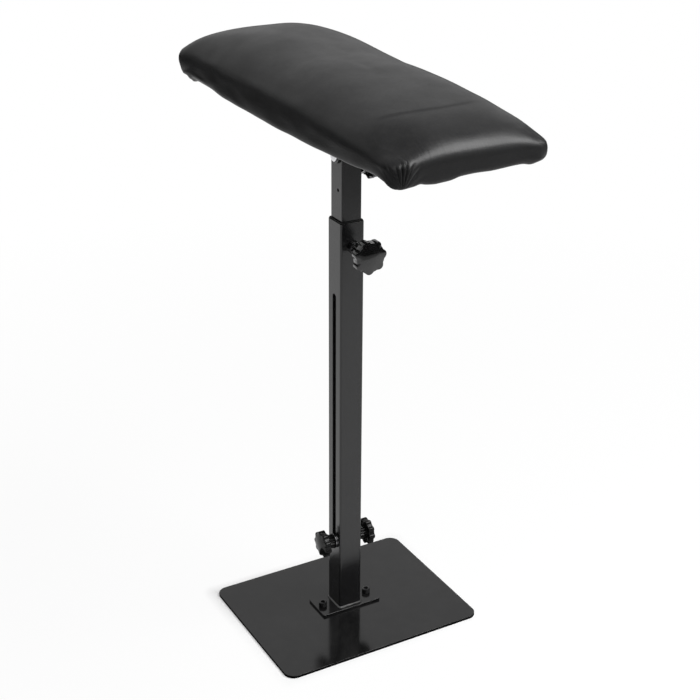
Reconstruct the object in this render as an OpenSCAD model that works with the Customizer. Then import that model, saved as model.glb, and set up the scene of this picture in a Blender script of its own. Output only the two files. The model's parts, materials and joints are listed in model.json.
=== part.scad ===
// Tattoo leg rest: a leather pad that tilts on a telescoping square post, screwed to a flat steel foot.
// Lengths are in millimetres. X runs along the foot's long edges, -Y is the clamp knob's side, +Z is up.
// The origin is the foot of the post's axis, on the base plate's underside. The mast is drawn at its
// lowest and the pad level.

/* [Foot] */
// Length of the base plate from side to side
base_w = 265; // [200:1:400]
// Depth of the base plate from front to back
base_d = 205; // [150:1:320]
// Thickness of the base plate
base_t = 3.5; // [3:0.5:10]
// Radius of the base plate's corners
base_corner = 13; // [2:1:30]
// Distance that the post stands behind the middle of the base plate
post_back = 2.5; // [0:0.5:20]
// Length of the foot flange
flange_w = 80; // [74:1:120]
// Depth of the foot flange
flange_d = 40; // [36:1:80]
// Thickness of the foot flange
flange_t = 3; // [2:0.5:8]
// Radius of the foot flange's corners
flange_corner = 1.5; // [1:0.5:6]
// Distance between the two flange screws
flange_screw_gap = 62; // [48:1:68]

/* [Post] */
// Width of the outer tube over its flats
tube_w = 30; // [28:0.5:36]
// Wall of the outer tube
tube_t = 1.5; // [1:0.1:2]
// Outside corner radius of the outer tube
tube_corner = 2.4; // [2:0.1:4]
// Length of the outer tube
tube_l = 506.5; // [460:0.5:640]
// Width of the slots in the outer tube's sides
slot_w = 8; // [6.8:0.1:10]
// Length of the slots
slot_l = 331.5; // [200:0.5:370]
// Height of the slots' lower ends above the outer tube's foot
slot_rise = 88; // [70:1:110]

/* [Mast] */
// Space between the outer tube's inside and the mast
slide_gap = 1; // [0.8:0.1:1.5]
// Wall of the mast
mast_t = 1.5; // [1:0.1:2]
// Outside corner radius of the mast
mast_corner = 1.2; // [1:0.1:3]
// Height of the mast's upper end above the outer tube's mouth, at its lowest
mast_show = 87; // [80:1:160]
// Reach of the mast below the lower studs
mast_drop = 32; // [28:1:60]
// Diameter of the small hole in the mast's left face
sight_hole_d = 4; // [2:0.5:6]

/* [Clamp] */
// Depth of the clamp screw below the outer tube's mouth
clamp_drop = 27.5; // [26:0.5:40]
// Outer diameter of the clamp knob
clamp_knob_d = 40; // [32:1:50]
// Diameter of the clamp stud
clamp_stud_d = 8; // [6:1:8]
// Gap between the weld nut and the clamp knob's hub
clamp_reach = 7.5; // [1:0.5:10]

/* [Small knobs] */
// Outer diameter of the lower knobs and of the tilt knob
small_knob_d = 32; // [28:1:32]
// Diameter of the small knobs' studs
small_stud_d = 6; // [5:0.5:6]
// Outer diameter of the washers under the small knobs
wide_washer_d = 18; // [15:1:18]

/* [Tilt head] */
// Depth of the tilt axis below the mast's upper end
pivot_drop = 12; // [11.5:0.5:16]
// Distance from the tilt axis to the tilt stud
tilt_arm = 16; // [16:0.5:20]
// Tilt of the pad each way, in degrees
tilt_range = 40; // [20:1:45]
// Thickness of the tilt bracket's ears
ear_t = 2.2; // [2:0.1:4]
// Height of the pad's underside above the tilt axis
pad_rise = 45; // [38:1:60]

/* [Pad] */
// Length of the pad from front to back
pad_l = 485; // [400:1:560]
// Width of the pad from side to side
pad_w = 183; // [160:1:240]
// Height of the pad from its underside to its crown
pad_h = 60; // [48:1:75]
// Plan radius of the pad's corners
pad_corner = 15; // [10:1:30]
// Extra height of the pad's rear end over its middle
rear_rise = 5; // [0:0.5:10]
// Depth that the pad's top falls by towards its front end
front_fall = 15; // [0:0.5:20]
// Length of the slope from each end of the pad to its crown
crown_run = 120; // [90:1:150]
// Depth that the pad's long sides pull in by at the middle
side_pull = 1.5; // [0:0.5:8]
// Thickness of the leather cover
leather_t = 1.2; // [0.8:0.1:2]
// Thickness of the plywood board
board_t = 12; // [10:1:15]

/* [Hidden] */
$fn = 64;

// Overrun of every cut past the face that it opens
over = 1;
// Radial gap of a stud or bolt that turns in a thread or bore
run_gap = 0.05;
// Radial gap of a washer or drilled hole round a stud
hole_gap = 0.3;
// Gap between faces that slide on each other
face_gap = 0.2;

// Heights of the post
foot_z = base_t + flange_t;
tube_top = foot_z + tube_l;
slot_low = foot_z + slot_rise;
clamp_z = tube_top - clamp_drop;

// Mast, from the outer tube's inside
mast_w = tube_w - 2 * (tube_t + slide_gap);
mast_in = mast_w - 2 * mast_t;
cavity_w = tube_w - 2 * tube_t;
// Space between a lower stud and the slot's end at its lowest
stop_gap = 0.5;
grip_z = slot_low + small_stud_d / 2 + stop_gap;
mast_low = grip_z - mast_drop;
mast_top = tube_top + mast_show;
mast_l = mast_top - mast_low;
pivot_z = mast_top - pivot_drop;
tilt_knob_z = pivot_z - tilt_arm;
// Height of the small hole above the outer tube's mouth, and its place off the middle of the face
sight_hole_rise = 36.5;
sight_hole_off = 3.8;

// Guide bush: its length in the tube, its lip's height and how far the lip lies over the tube's wall
bush_l = 20;
bush_lip = 1.6;
bush_over = 0.7;
bush_gap = 0.1;

// Glide plug and cross block in the mast's foot
plug_stem = 12;
plug_flange = 3;
block_l = 30;
fit_gap = 0.1;

// Weld bead, socket head screws and weld nuts
bead_r = 1.7;
flange_screw_d = 6;
socket_head_d = 10;
socket_head_h = 6;
socket_across = 5;
socket_depth = 3;
clamp_nut_across = 13;
clamp_nut_h = 6.5;
tilt_nut_across = 10;
tilt_nut_h = 5;

// Knobs: counts and shares of the knob's radius
lobe_count = 7;
small_lobe_count = 9;
flute_count = 14;
lobe_share = 0.25;
small_lobe_share = 0.22;
valley_share = 0.87;
small_valley_share = 0.93;
clamp_hub_l = 17;
clamp_hub_d = 18;
clamp_head_l = 11;
small_hub_l = 8;
small_hub_d = 17;
small_head_l = 11.5;
knob_dome = 1.5;
flute_r = 1;
hub_ring_h = 1.5;
hub_ring_lip = 0.8;
knob_floor = 4;
wide_washer_t = 1.6;
stud_reach = 9;

// Pivot hardware
pivot_d = 6;
sleeve_d = 10;
pivot_head_d = 13;
pivot_head_rim = 1.4;
pivot_head_dome = 1.4;
pivot_washer_d = 12;
pivot_washer_t = 1.2;
pivot_nut_across = 10;
pivot_nut_h = 5;
pivot_tail = 0.8;

// Tilt bracket
left_ear_w = 18;
ear_margin = 3.7;
slot_play = 0.3;
// Ease of the curved slot's sides past its round ends
slot_ease = 0.05;
plate_t = 3;
plate_w = 80;
plate_d = 110;
plate_corner = 6;
bracket_screw_x = 60;
bracket_screw_y = 84;
bracket_screw_d = 6;
bracket_screw_l = 12;
pan_head_d = 11;
pan_head_h = 3.3;
pan_socket_across = 4;
pan_socket_depth = 2;
tee_barrel_d = 7.8;
tee_flange_d = 19;
tee_flange_t = 1.2;

// Pad: lower edge, height of the side wall, board, cover and dust cover
pad_z = pivot_z + pad_rise;
pad_edge = 3;
side_h = 14;
board_inset = 8;
board_corner = 22;
fold_w = 30;
dust_t = 0.8;
dust_lap = 14;
dust_gap = 0.5;
soft_gap = 0.1;
staple_w = 10;
staple_t = 0.6;
staple_inset = 7;
staples_long = 9;
staples_short = 3;
board_low = pad_z + leather_t;
plate_low = board_low - plate_t;

// Pad form: steps round a corner, along a quarter of a side and end, and up the lower edge and the crown
corner_steps = 5;
side_steps = 5;
end_steps = 2;
edge_steps = 2;
crown_steps = 7;
// Roundness of the crown's section and its last angle, where the flat strip along the top begins
crown_power = 0.77;
crown_last = 84;
// Growth of the corners' radius up to the crown, and the most of a ring's half width that it may take
corner_growth = 38;
corner_share = 0.98;

// Seen from above, the square tubes' sections
module rounded_square(w, d, r) {
    square([w - 2 * r, d], center = true);
    square([w, d - 2 * r], center = true);
    for (x = [-1, 1], y = [-1, 1])
        translate([x * (w / 2 - r), y * (d / 2 - r)])
            circle(r = r);
}

module rounded_plate(w, d, t, r) {
    linear_extrude(t)
        rounded_square(w, d, r);
}

module square_tube(w, t, r, l) {
    difference() {
        rounded_plate(w, w, l, r);
        translate([0, 0, -over])
            rounded_plate(w - 2 * t, w - 2 * t, l + 2 * over, max(r - t, t / 4));
    }
}

// Turns what follows so that its +Z looks out of the front, the left or the right
module to_front() { rotate([90, 0, 0]) children(); }
module to_left() { rotate([0, -90, 0]) children(); }
module to_right() { rotate([0, 90, 0]) children(); }

module hexagon(across, h) {
    cylinder(d = across / cos(180 / 6), h = h, $fn = 6);
}

module ring(outer_d, inner_d, h) {
    difference() {
        cylinder(d = outer_d, h = h);
        translate([0, 0, -over])
            cylinder(d = inner_d, h = h + 2 * over);
    }
}

// Foot

module flange_screw_places() {
    for (x = [-1, 1])
        translate([x * flange_screw_gap / 2, 0, 0])
            children();
}

module base_plate() {
    color([0.05, 0.05, 0.05])
        difference() {
            translate([0, -post_back, 0])
                rounded_plate(base_w, base_d, base_t, base_corner);
            flange_screw_places()
                translate([0, 0, -over])
                    cylinder(d = flange_screw_d, h = base_t + 2 * over);
        }
}

module foot_flange() {
    color([0.06, 0.06, 0.06])
        translate([0, 0, base_t])
            difference() {
                rounded_plate(flange_w, flange_d, flange_t, flange_corner);
                flange_screw_places()
                    translate([0, 0, -over])
                        cylinder(r = flange_screw_d / 2 + hole_gap, h = flange_t + 2 * over);
            }
}

// One bead round the tube's foot: four runs and four turned corners, cut back to the tube and the flange
module foot_weld() {
    run = tube_w - 2 * tube_corner;
    color([0.1, 0.1, 0.1])
        translate([0, 0, foot_z])
            difference() {
                for (a = [0:90:270])
                    rotate([0, 0, a]) {
                        translate([-run / 2, -tube_w / 2, 0])
                            rotate([0, 90, 0])
                                cylinder(r = bead_r, h = run);
                        translate([run / 2, run / 2, 0])
                            rotate_extrude(angle = 90)
                                translate([tube_corner, 0])
                                    circle(r = bead_r);
                    }
                translate([0, 0, -bead_r - over])
                    rounded_plate(tube_w + 4 * bead_r, tube_w + 4 * bead_r, bead_r + over, tube_corner);
                translate([0, 0, -over])
                    rounded_plate(tube_w, tube_w, bead_r + 2 * over, tube_corner);
            }
}

module flange_screws() {
    color([0.08, 0.08, 0.08])
        flange_screw_places()
            translate([0, 0, foot_z]) {
                translate([0, 0, -foot_z + face_gap])
                    cylinder(d = flange_screw_d, h = foot_z - face_gap);
                difference() {
                    cylinder(d = socket_head_d, h = socket_head_h);
                    translate([0, 0, socket_head_h - socket_depth])
                        hexagon(socket_across, socket_depth + over);
                }
            }
}

// Post

// The slot's outline lies in the plane of the side wall: its length along Z
module slot_cut() {
    translate([0, 0, slot_low])
        to_right()
            translate([0, 0, -tube_w / 2 - over])
                linear_extrude(tube_w + 2 * over) {
                    translate([-slot_l + slot_w / 2, -slot_w / 2])
                        square([slot_l - slot_w, slot_w]);
                    for (end = [slot_w / 2, slot_l - slot_w / 2])
                        translate([-end, 0])
                            circle(d = slot_w);
                }
}

module outer_tube() {
    color([0.05, 0.05, 0.05])
        difference() {
            translate([0, 0, foot_z])
                square_tube(tube_w, tube_t, tube_corner, tube_l);
            slot_cut();
            translate([0, -cavity_w / 2 + over, clamp_z])
                to_front()
                    cylinder(r = clamp_stud_d / 2 + hole_gap, h = tube_t + 2 * over);
        }
}

module clamp_nut() {
    color([0.08, 0.08, 0.08])
        translate([0, -tube_w / 2, clamp_z])
            to_front()
                difference() {
                    hexagon(clamp_nut_across, clamp_nut_h);
                    translate([0, 0, -over])
                        cylinder(r = clamp_stud_d / 2 + run_gap, h = clamp_nut_h + 2 * over);
                }
}

module guide_bush() {
    bore_w = mast_w + 2 * bush_gap;
    lip_w = cavity_w + 2 * bush_over;
    color([0.02, 0.02, 0.02])
        translate([0, 0, tube_top])
            difference() {
                union() {
                    translate([0, 0, -bush_l])
                        rounded_plate(cavity_w, cavity_w, bush_l, max(tube_corner - tube_t, tube_t / 4));
                    rounded_plate(lip_w, lip_w, bush_lip, tube_corner - tube_t / 2);
                }
                translate([0, 0, -bush_l - over])
                    rounded_plate(bore_w, bore_w, bush_l + bush_lip + 2 * over, mast_corner);
            }
}

// Knobs stand on their hub's face, with the axis along +Z

module star_outline(r, lobes, lobe_r, valley_r) {
    circle(r = valley_r);
    for (i = [0:lobes - 1])
        rotate([0, 0, i * 360 / lobes])
            translate([r - lobe_r, 0])
                circle(r = lobe_r);
}

module star_knob(d, hub_d, hub_l, head_l, bore_d, lobes, lobe_part, valley_part) {
    r = d / 2;
    dome_r = (r * r + knob_dome * knob_dome) / (2 * knob_dome);
    difference() {
        union() {
            difference() {
                cylinder(d = hub_d, h = hub_l);
                for (i = [0:flute_count - 1])
                    rotate([0, 0, i * 360 / flute_count])
                        translate([hub_d / 2 + flute_r / 2, 0, hub_ring_h])
                            cylinder(r = flute_r, h = hub_l);
            }
            cylinder(d = hub_d + 2 * hub_ring_lip, h = hub_ring_h);
            translate([0, 0, hub_l])
                intersection() {
                    linear_extrude(head_l)
                        star_outline(r, lobes, r * lobe_part, r * valley_part);
                    rotate_extrude()
                        intersection() {
                            square([r + over, head_l]);
                            translate([0, head_l - dome_r])
                                circle(r = dome_r, $fn = 720);
                        }
                }
        }
        translate([0, 0, -over])
            cylinder(d = bore_d, h = hub_l + head_l - knob_floor + over);
    }
}

// Turn of the knobs, in degrees, and the way from the tube's face to each knob's hub
clamp_turn = 7;
small_turn = 25;
clamp_hub_off = clamp_nut_h + clamp_reach;
clamp_bore = clamp_hub_l + clamp_head_l - knob_floor;
small_bore = small_hub_l + small_head_l - knob_floor;

module clamp_knob() {
    color([0.03, 0.03, 0.03])
        translate([0, -tube_w / 2 - clamp_hub_off, clamp_z])
            to_front()
                rotate([0, 0, clamp_turn])
                    star_knob(
                        clamp_knob_d, clamp_hub_d, clamp_hub_l, clamp_head_l, clamp_stud_d,
                        lobe_count, lobe_share, valley_share
                    );
}

module clamp_stud() {
    tip = mast_w / 2 + face_gap;
    color([0.6, 0.6, 0.62])
        translate([0, -tip, clamp_z])
            to_front()
                cylinder(d = clamp_stud_d, h = tube_w / 2 + clamp_hub_off + clamp_bore - tip);
}

// Mast

module mast_tube() {
    color([0.05, 0.05, 0.05])
        difference() {
            translate([0, 0, mast_low])
                square_tube(mast_w, mast_t, mast_corner, mast_l);
            translate([-mast_w / 2 - over, 0, grip_z])
                to_right()
                    cylinder(r = small_stud_d / 2 + hole_gap, h = mast_w + 2 * over);
            translate([-mast_w / 2 - over, 0, pivot_z])
                to_right()
                    cylinder(r = pivot_d / 2 + fit_gap, h = mast_w + 2 * over);
            translate([0, 0, tilt_knob_z])
                to_right()
                    cylinder(r = small_stud_d / 2 + hole_gap, h = mast_w / 2 + over);
            translate([0, -sight_hole_off, tube_top + sight_hole_rise])
                to_left()
                    cylinder(d = sight_hole_d, h = mast_w / 2 + over);
        }
}

module glide_plug() {
    flange = cavity_w - 2 * face_gap;
    stem = mast_in - 2 * fit_gap;
    color([0.02, 0.02, 0.02])
        translate([0, 0, mast_low]) {
            translate([0, 0, -plug_flange])
                rounded_plate(flange, flange, plug_flange, mast_corner);
            rounded_plate(stem, stem, plug_stem, mast_corner);
        }
}

module cross_block() {
    side = mast_in - 2 * fit_gap;
    color([0.55, 0.55, 0.57])
        translate([0, 0, grip_z])
            difference() {
                translate([0, 0, -block_l / 2])
                    rounded_plate(side, side, block_l, mast_corner);
                translate([-side / 2 - over, 0, 0])
                    to_right()
                        cylinder(r = small_stud_d / 2 + run_gap, h = side + 2 * over);
            }
}

cap_t = 2;
cap_stem = 5;

module mast_cap() {
    stem = mast_in - 2 * fit_gap;
    color([0.02, 0.02, 0.02])
        translate([0, 0, mast_top]) {
            rounded_plate(mast_w, mast_w, cap_t, mast_corner);
            translate([0, 0, -cap_stem])
                rounded_plate(stem, stem, cap_stem, mast_corner);
        }
}

module pivot_sleeve() {
    color([0.6, 0.6, 0.62])
        translate([-mast_in / 2, 0, pivot_z])
            to_right()
                ring(sleeve_d, pivot_d + 2 * run_gap, mast_in);
}

module tilt_nut() {
    color([0.6, 0.6, 0.62])
        translate([mast_in / 2 - tilt_nut_h, 0, tilt_knob_z])
            to_right()
                difference() {
                    hexagon(tilt_nut_across, tilt_nut_h);
                    translate([0, 0, -over])
                        cylinder(r = small_stud_d / 2 + run_gap, h = tilt_nut_h + 2 * over);
                }
}

// Small knobs: each washer lies on a face, the knob's hub on the washer and the stud runs inwards

module wide_washer() {
    ring(wide_washer_d, small_stud_d + 2 * hole_gap, wide_washer_t);
}

module small_knob() {
    translate([0, 0, wide_washer_t])
        rotate([0, 0, small_turn])
            star_knob(
                small_knob_d, small_hub_d, small_hub_l, small_head_l, small_stud_d,
                small_lobe_count, small_lobe_share, small_valley_share
            );
}

module small_stud(reach) {
    translate([0, 0, -reach])
        cylinder(d = small_stud_d, h = reach + wide_washer_t + small_bore);
}

// Outer face of the right ear, which the tilt knob's washer lies on
ear_face = mast_w / 2 + face_gap + ear_t;
lower_stud_reach = tube_w / 2 - mast_in / 2 + stud_reach;
tilt_stud_reach = ear_face - mast_in / 2 + tilt_nut_h + over;

module left_washer() {
    color([0.7, 0.7, 0.72]) translate([-tube_w / 2, 0, grip_z]) to_left() wide_washer();
}

module right_washer() {
    color([0.7, 0.7, 0.72]) translate([tube_w / 2, 0, grip_z]) to_right() wide_washer();
}

module tilt_washer() {
    color([0.7, 0.7, 0.72]) translate([ear_face, 0, tilt_knob_z]) to_right() wide_washer();
}

module left_knob() {
    color([0.03, 0.03, 0.03]) translate([-tube_w / 2, 0, grip_z]) to_left() small_knob();
}

module left_stud() {
    color([0.6, 0.6, 0.62]) translate([-tube_w / 2, 0, grip_z]) to_left() small_stud(lower_stud_reach);
}

module right_knob() {
    color([0.03, 0.03, 0.03]) translate([tube_w / 2, 0, grip_z]) to_right() small_knob();
}

module right_stud() {
    color([0.6, 0.6, 0.62]) translate([tube_w / 2, 0, grip_z]) to_right() small_stud(lower_stud_reach);
}

module tilt_knob() {
    color([0.03, 0.03, 0.03]) translate([ear_face, 0, tilt_knob_z]) to_right() small_knob();
}

module tilt_stud() {
    color([0.6, 0.6, 0.62]) translate([ear_face, 0, tilt_knob_z]) to_right() small_stud(tilt_stud_reach);
}

// Tilt head

// Seen from the right: the curved slot that the tilt stud runs in, round the pivot, and its end circles
module curved_slot(width) {
    reach = tilt_arm + width;
    intersection() {
        difference() {
            circle(r = tilt_arm + width / 2);
            circle(r = tilt_arm - width / 2);
        }
        polygon([
            [0, 0],
            [-reach * 2 * tan(tilt_range), -reach * 2],
            [reach * 2 * tan(tilt_range), -reach * 2]
        ]);
    }
    for (a = [-tilt_range, tilt_range])
        rotate([0, 0, a])
            translate([0, -tilt_arm])
                circle(d = width - 2 * slot_ease);
}

// An ear stands in the YZ plane: its outline's first axis is Y and its second is the height over the pivot
module ear(x, width, foot_r) {
    rise = plate_low - pivot_z;
    translate([x, 0, pivot_z])
        rotate([90, 0, 90])
            linear_extrude(ear_t) {
                difference() {
                    union() {
                        circle(r = foot_r);
                        translate([-width / 2, 0])
                            square([width, rise]);
                    }
                    children();
                }
            }
}

module bracket_screw_places() {
    for (x = [-1, 1], y = [-1, 1])
        translate([x * bracket_screw_x / 2, y * bracket_screw_y / 2, 0])
            children();
}

module tilt_bracket() {
    slot_width = small_stud_d + 2 * slot_play;
    big_r = tilt_arm + slot_width / 2 + ear_margin;
    color([0.05, 0.05, 0.05]) {
        difference() {
            translate([0, 0, plate_low])
                rounded_plate(plate_w, plate_d, plate_t, plate_corner);
            bracket_screw_places()
                translate([0, 0, plate_low - over])
                    cylinder(r = bracket_screw_d / 2 + hole_gap, h = plate_t + 2 * over);
        }
        ear(-ear_face, left_ear_w, left_ear_w / 2)
            square(pivot_d + 2 * fit_gap, center = true);
        ear(ear_face - ear_t, 2 * big_r, big_r) {
            circle(r = pivot_d / 2 + fit_gap);
            curved_slot(slot_width);
        }
    }
}

// Round head on the left ear, square neck in the ear, plain shank through the mast to the nut
module pivot_bolt() {
    shank = 2 * ear_face + pivot_washer_t + pivot_nut_h + pivot_tail;
    head_r = pivot_head_d / 2;
    dome_r = (head_r * head_r + pivot_head_dome * pivot_head_dome) / (2 * pivot_head_dome);
    color([0.75, 0.75, 0.77])
        translate([-ear_face, 0, pivot_z]) {
            to_right() {
                cylinder(d = pivot_d, h = shank);
                translate([0, 0, ear_t / 2])
                    cube([pivot_d, pivot_d, ear_t], center = true);
            }
            to_left()
                rotate_extrude()
                    intersection() {
                        square([head_r, pivot_head_rim + pivot_head_dome]);
                        translate([0, pivot_head_rim + pivot_head_dome - dome_r])
                            circle(r = dome_r, $fn = 720);
                    }
        }
}

module pivot_washer() {
    color([0.7, 0.7, 0.72])
        translate([ear_face, 0, pivot_z])
            to_right()
                ring(pivot_washer_d, pivot_d + 2 * fit_gap, pivot_washer_t);
}

module pivot_nut() {
    color([0.7, 0.7, 0.72])
        translate([ear_face + pivot_washer_t, 0, pivot_z])
            to_right()
                difference() {
                    hexagon(pivot_nut_across, pivot_nut_h);
                    translate([0, 0, -over])
                        cylinder(d = pivot_d, h = pivot_nut_h + 2 * over);
                }
}

module bracket_screws() {
    color([0.7, 0.7, 0.72])
        bracket_screw_places()
            translate([0, 0, plate_low]) {
                cylinder(d = bracket_screw_d, h = bracket_screw_l);
                translate([0, 0, -pan_head_h])
                    difference() {
                        cylinder(d = pan_head_d, h = pan_head_h);
                        translate([0, 0, -over])
                            hexagon(pan_socket_across, pan_socket_depth + over);
                    }
            }
}

module tee_nuts() {
    barrel = board_t - tee_flange_t;
    color([0.7, 0.7, 0.72])
        bracket_screw_places()
            translate([0, 0, board_low])
                difference() {
                    union() {
                        translate([0, 0, plate_t / 2])
                            cylinder(d = tee_barrel_d, h = barrel - plate_t / 2);
                        translate([0, 0, barrel])
                            cylinder(d = tee_flange_d, h = tee_flange_t);
                    }
                    cylinder(d = bracket_screw_d, h = board_t + over);
                }
}

// Pad

module pad_board() {
    color([0.72, 0.56, 0.36])
        translate([0, 0, board_low])
            difference() {
                rounded_plate(pad_w - 2 * board_inset, pad_l - 2 * board_inset, board_t, board_corner);
                bracket_screw_places() {
                    translate([0, 0, -over])
                        cylinder(d = tee_barrel_d, h = board_t + 2 * over);
                    translate([0, 0, board_t - tee_flange_t])
                        cylinder(d = tee_flange_d, h = tee_flange_t + over);
                }
            }
}

// A quarter of a rounded rectangle with half sizes a and b, from the middle of its end to its side
function quarter(a, b, r) = concat(
    [for (i = [0:end_steps - 1]) [(a - r) * i / end_steps, b]],
    [for (i = [0:corner_steps])
        [a - r + r * sin(90 * i / corner_steps), b - r + r * cos(90 * i / corner_steps)]],
    [for (i = [1:side_steps - 1]) [a, (b - r) * (1 - i / side_steps)]]
);

// The whole outline: the right half from the rear to the front, then its mirror image back again
function right_half(q, a) = concat(
    q,
    [[a, 0]],
    [for (i = [len(q) - 1:-1:0]) [q[i][0], -q[i][1]]]
);
function whole(h) = concat(h, [for (i = [len(h) - 2:-1:1]) [-h[i][0], h[i][1]]]);

// Each ring's insets from the sides and the ends, its height over the pad's underside and its share of
// the crown, for a form that lies g inside the leather's face
function edge_ring(i, g) = let (a = 90 * (1 - i / edge_steps), r = pad_edge - g)
    [r * (1 - cos(a)), r * (1 - cos(a)), g + r * (1 - sin(a)), 0];
function crown_ring(i, g) = let (a = crown_last * i / crown_steps, share = 1 - pow(cos(a), crown_power))
    [
        (pad_w / 2 - g) * share,
        (crown_run - g) * share,
        side_h + (pad_h - g - side_h) * pow(sin(a), crown_power),
        share
    ];
function rings(g) = concat(
    [for (i = [0:edge_steps]) edge_ring(i, g)],
    [for (i = [0:crown_steps]) crown_ring(i, g)]
);

// A smooth step from 0 to 1
function smooth(s) = let (t = max(0, min(1, s))) t * t * (3 - 2 * t);
// Height that the crown gains at a place along the pad: up behind the middle, down towards the front
function crown_lift(y) = rear_rise * smooth(4 * y / pad_l) - front_fall * smooth(-2 * y / pad_l);
// Share of the side's pull at a place along the pad, which is whole in the middle and nothing at the ends
function pull_share(y) = 1 - pow(2 * y / pad_l, 2);

// One ring's points: pulled in at the middle of its sides, lifted and lowered along the pad with the crown
function ring_points(level, g) = let (
        a = pad_w / 2 - g - level[0],
        b = pad_l / 2 - g - level[1],
        z = level[2],
        r = min(max(pad_corner, pad_edge + g) - g + corner_growth * level[3], a * corner_share),
        lift = max(0, z - side_h) / (pad_h - side_h)
    )
    [for (p = whole(right_half(quarter(a, b, r), a)))
        [p[0] * (1 - 2 * side_pull / pad_w * pull_share(p[1])), p[1], z + lift * crown_lift(p[1])]];

// Triangles across a ring of n points, clockwise from above: fans over the straight ends, a strip between
function lid(n, e) = let (h = n / 2) concat(
    [for (j = [-e:e - 1]) [n - e - 1, (n + j) % n, (n + j + 1) % n]],
    [[e, e + 1, n - e - 1]],
    [for (i = [e + 1:h - e - 2]) each [[i, i + 1, n - i], [i + 1, n - i - 1, n - i]]],
    [for (j = [h - e - 1:h + e - 1]) [j, j + 1, h + e + 1]]
);

module pad_form(g) {
    levels = rings(g);
    loops = [for (l = levels) ring_points(l, g)];
    n = len(loops[0]);
    top = (len(loops) - 1) * n;
    walls = [for (k = [0:len(loops) - 2], i = [0:n - 1]) let (a = k * n + i, b = k * n + (i + 1) % n)
        each [[a, b, b + n], [a, b + n, a + n]]];
    lids = [for (t = lid(n, end_steps)) each [[top + t[0], top + t[1], top + t[2]], [t[2], t[1], t[0]]]];
    polyhedron(points = [for (l = loops) each l], faces = concat(walls, lids), convexity = 4);
}

module pad_foam() {
    color([0.85, 0.8, 0.6])
        translate([0, 0, pad_z])
            difference() {
                pad_form(leather_t + soft_gap);
                rounded_plate(
                    pad_w - 2 * board_inset, pad_l - 2 * board_inset,
                    leather_t + board_t, board_corner
                );
            }
}

// The leather is a skin round the foam and the board, open underneath inside its folded margin
module pad_cover() {
    margin = board_inset + fold_w;
    color([0.05, 0.05, 0.05])
        translate([0, 0, pad_z])
            difference() {
                pad_form(0);
                pad_form(leather_t);
                translate([0, 0, -over])
                    rounded_plate(pad_w - 2 * margin, pad_l - 2 * margin, leather_t + 2 * over, plate_corner);
            }
}

dust_w = pad_w - 2 * (board_inset + fold_w - dust_lap);
dust_l = pad_l - 2 * (board_inset + fold_w - dust_lap);

module dust_cover() {
    color([0.07, 0.07, 0.08])
        translate([0, 0, pad_z - dust_t])
            difference() {
                rounded_plate(dust_w, dust_l, dust_t, plate_corner);
                translate([0, 0, -over])
                    rounded_plate(
                        plate_w + 2 * dust_gap, plate_d + 2 * dust_gap, dust_t + 2 * over, plate_corner
                    );
            }
}

// Staple crowns lie flat under the dust cover's edge, along its sides and its ends
module cover_staples() {
    side_x = dust_w / 2 - staple_inset;
    end_y = dust_l / 2 - staple_inset;
    color([0.7, 0.7, 0.72])
        translate([0, 0, pad_z - dust_t - staple_t]) {
            for (x = [-side_x, side_x], i = [0:staples_long - 1])
                translate([x, (i / (staples_long - 1) - 1 / 2) * 2 * (end_y - staple_w), staple_t / 2])
                    cube([staple_t, staple_w, staple_t], center = true);
            for (y = [-end_y, end_y], i = [0:staples_short - 1])
                translate([(i / (staples_short - 1) - 1 / 2) * 2 * (side_x - staple_w), y, staple_t / 2])
                    cube([staple_w, staple_t, staple_t], center = true);
        }
}

base_plate();
foot_flange();
foot_weld();
flange_screws();
outer_tube();
clamp_nut();
guide_bush();
clamp_knob();
clamp_stud();
mast_tube();
glide_plug();
cross_block();
mast_cap();
pivot_sleeve();
tilt_nut();
left_washer();
right_washer();
tilt_washer();
left_knob();
left_stud();
right_knob();
right_stud();
tilt_knob();
tilt_stud();
tilt_bracket();
pivot_bolt();
pivot_washer();
pivot_nut();
bracket_screws();
tee_nuts();
pad_board();
pad_foam();
pad_cover();
dust_cover();
cover_staples();
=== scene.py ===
"""Tattoo leg rest: its foot, post, mast, knobs and leather pad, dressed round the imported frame."""

import json
import logging
import math
from dataclasses import dataclass, field
from enum import Enum
from functools import cached_property
from typing import Callable, Iterable, Sequence

import bmesh
import bpy
from mathutils import Matrix, Vector, noise
from mathutils.kdtree import KDTree


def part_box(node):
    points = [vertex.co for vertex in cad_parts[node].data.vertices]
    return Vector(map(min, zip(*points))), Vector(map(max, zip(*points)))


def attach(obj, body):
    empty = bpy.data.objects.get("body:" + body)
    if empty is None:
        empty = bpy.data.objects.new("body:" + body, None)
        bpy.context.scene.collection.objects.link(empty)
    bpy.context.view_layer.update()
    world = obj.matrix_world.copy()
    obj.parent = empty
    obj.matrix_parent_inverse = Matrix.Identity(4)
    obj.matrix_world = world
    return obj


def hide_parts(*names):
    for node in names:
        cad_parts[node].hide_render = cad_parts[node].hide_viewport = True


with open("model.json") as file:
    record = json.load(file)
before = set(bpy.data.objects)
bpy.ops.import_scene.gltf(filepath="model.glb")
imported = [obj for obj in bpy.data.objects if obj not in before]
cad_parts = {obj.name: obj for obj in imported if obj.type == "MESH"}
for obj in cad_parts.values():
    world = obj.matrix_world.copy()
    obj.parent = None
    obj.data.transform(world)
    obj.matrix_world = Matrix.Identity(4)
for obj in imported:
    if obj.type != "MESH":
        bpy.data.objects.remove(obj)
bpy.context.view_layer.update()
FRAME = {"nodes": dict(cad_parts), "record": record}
MM = 0.001
LOG = logging.getLogger("leg_rest")

Color = tuple[float, float, float]
Outline = Callable[[float], float]
Level = tuple[Outline, float | Outline]
Path = Callable[[float], tuple[Vector, Vector]]


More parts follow.
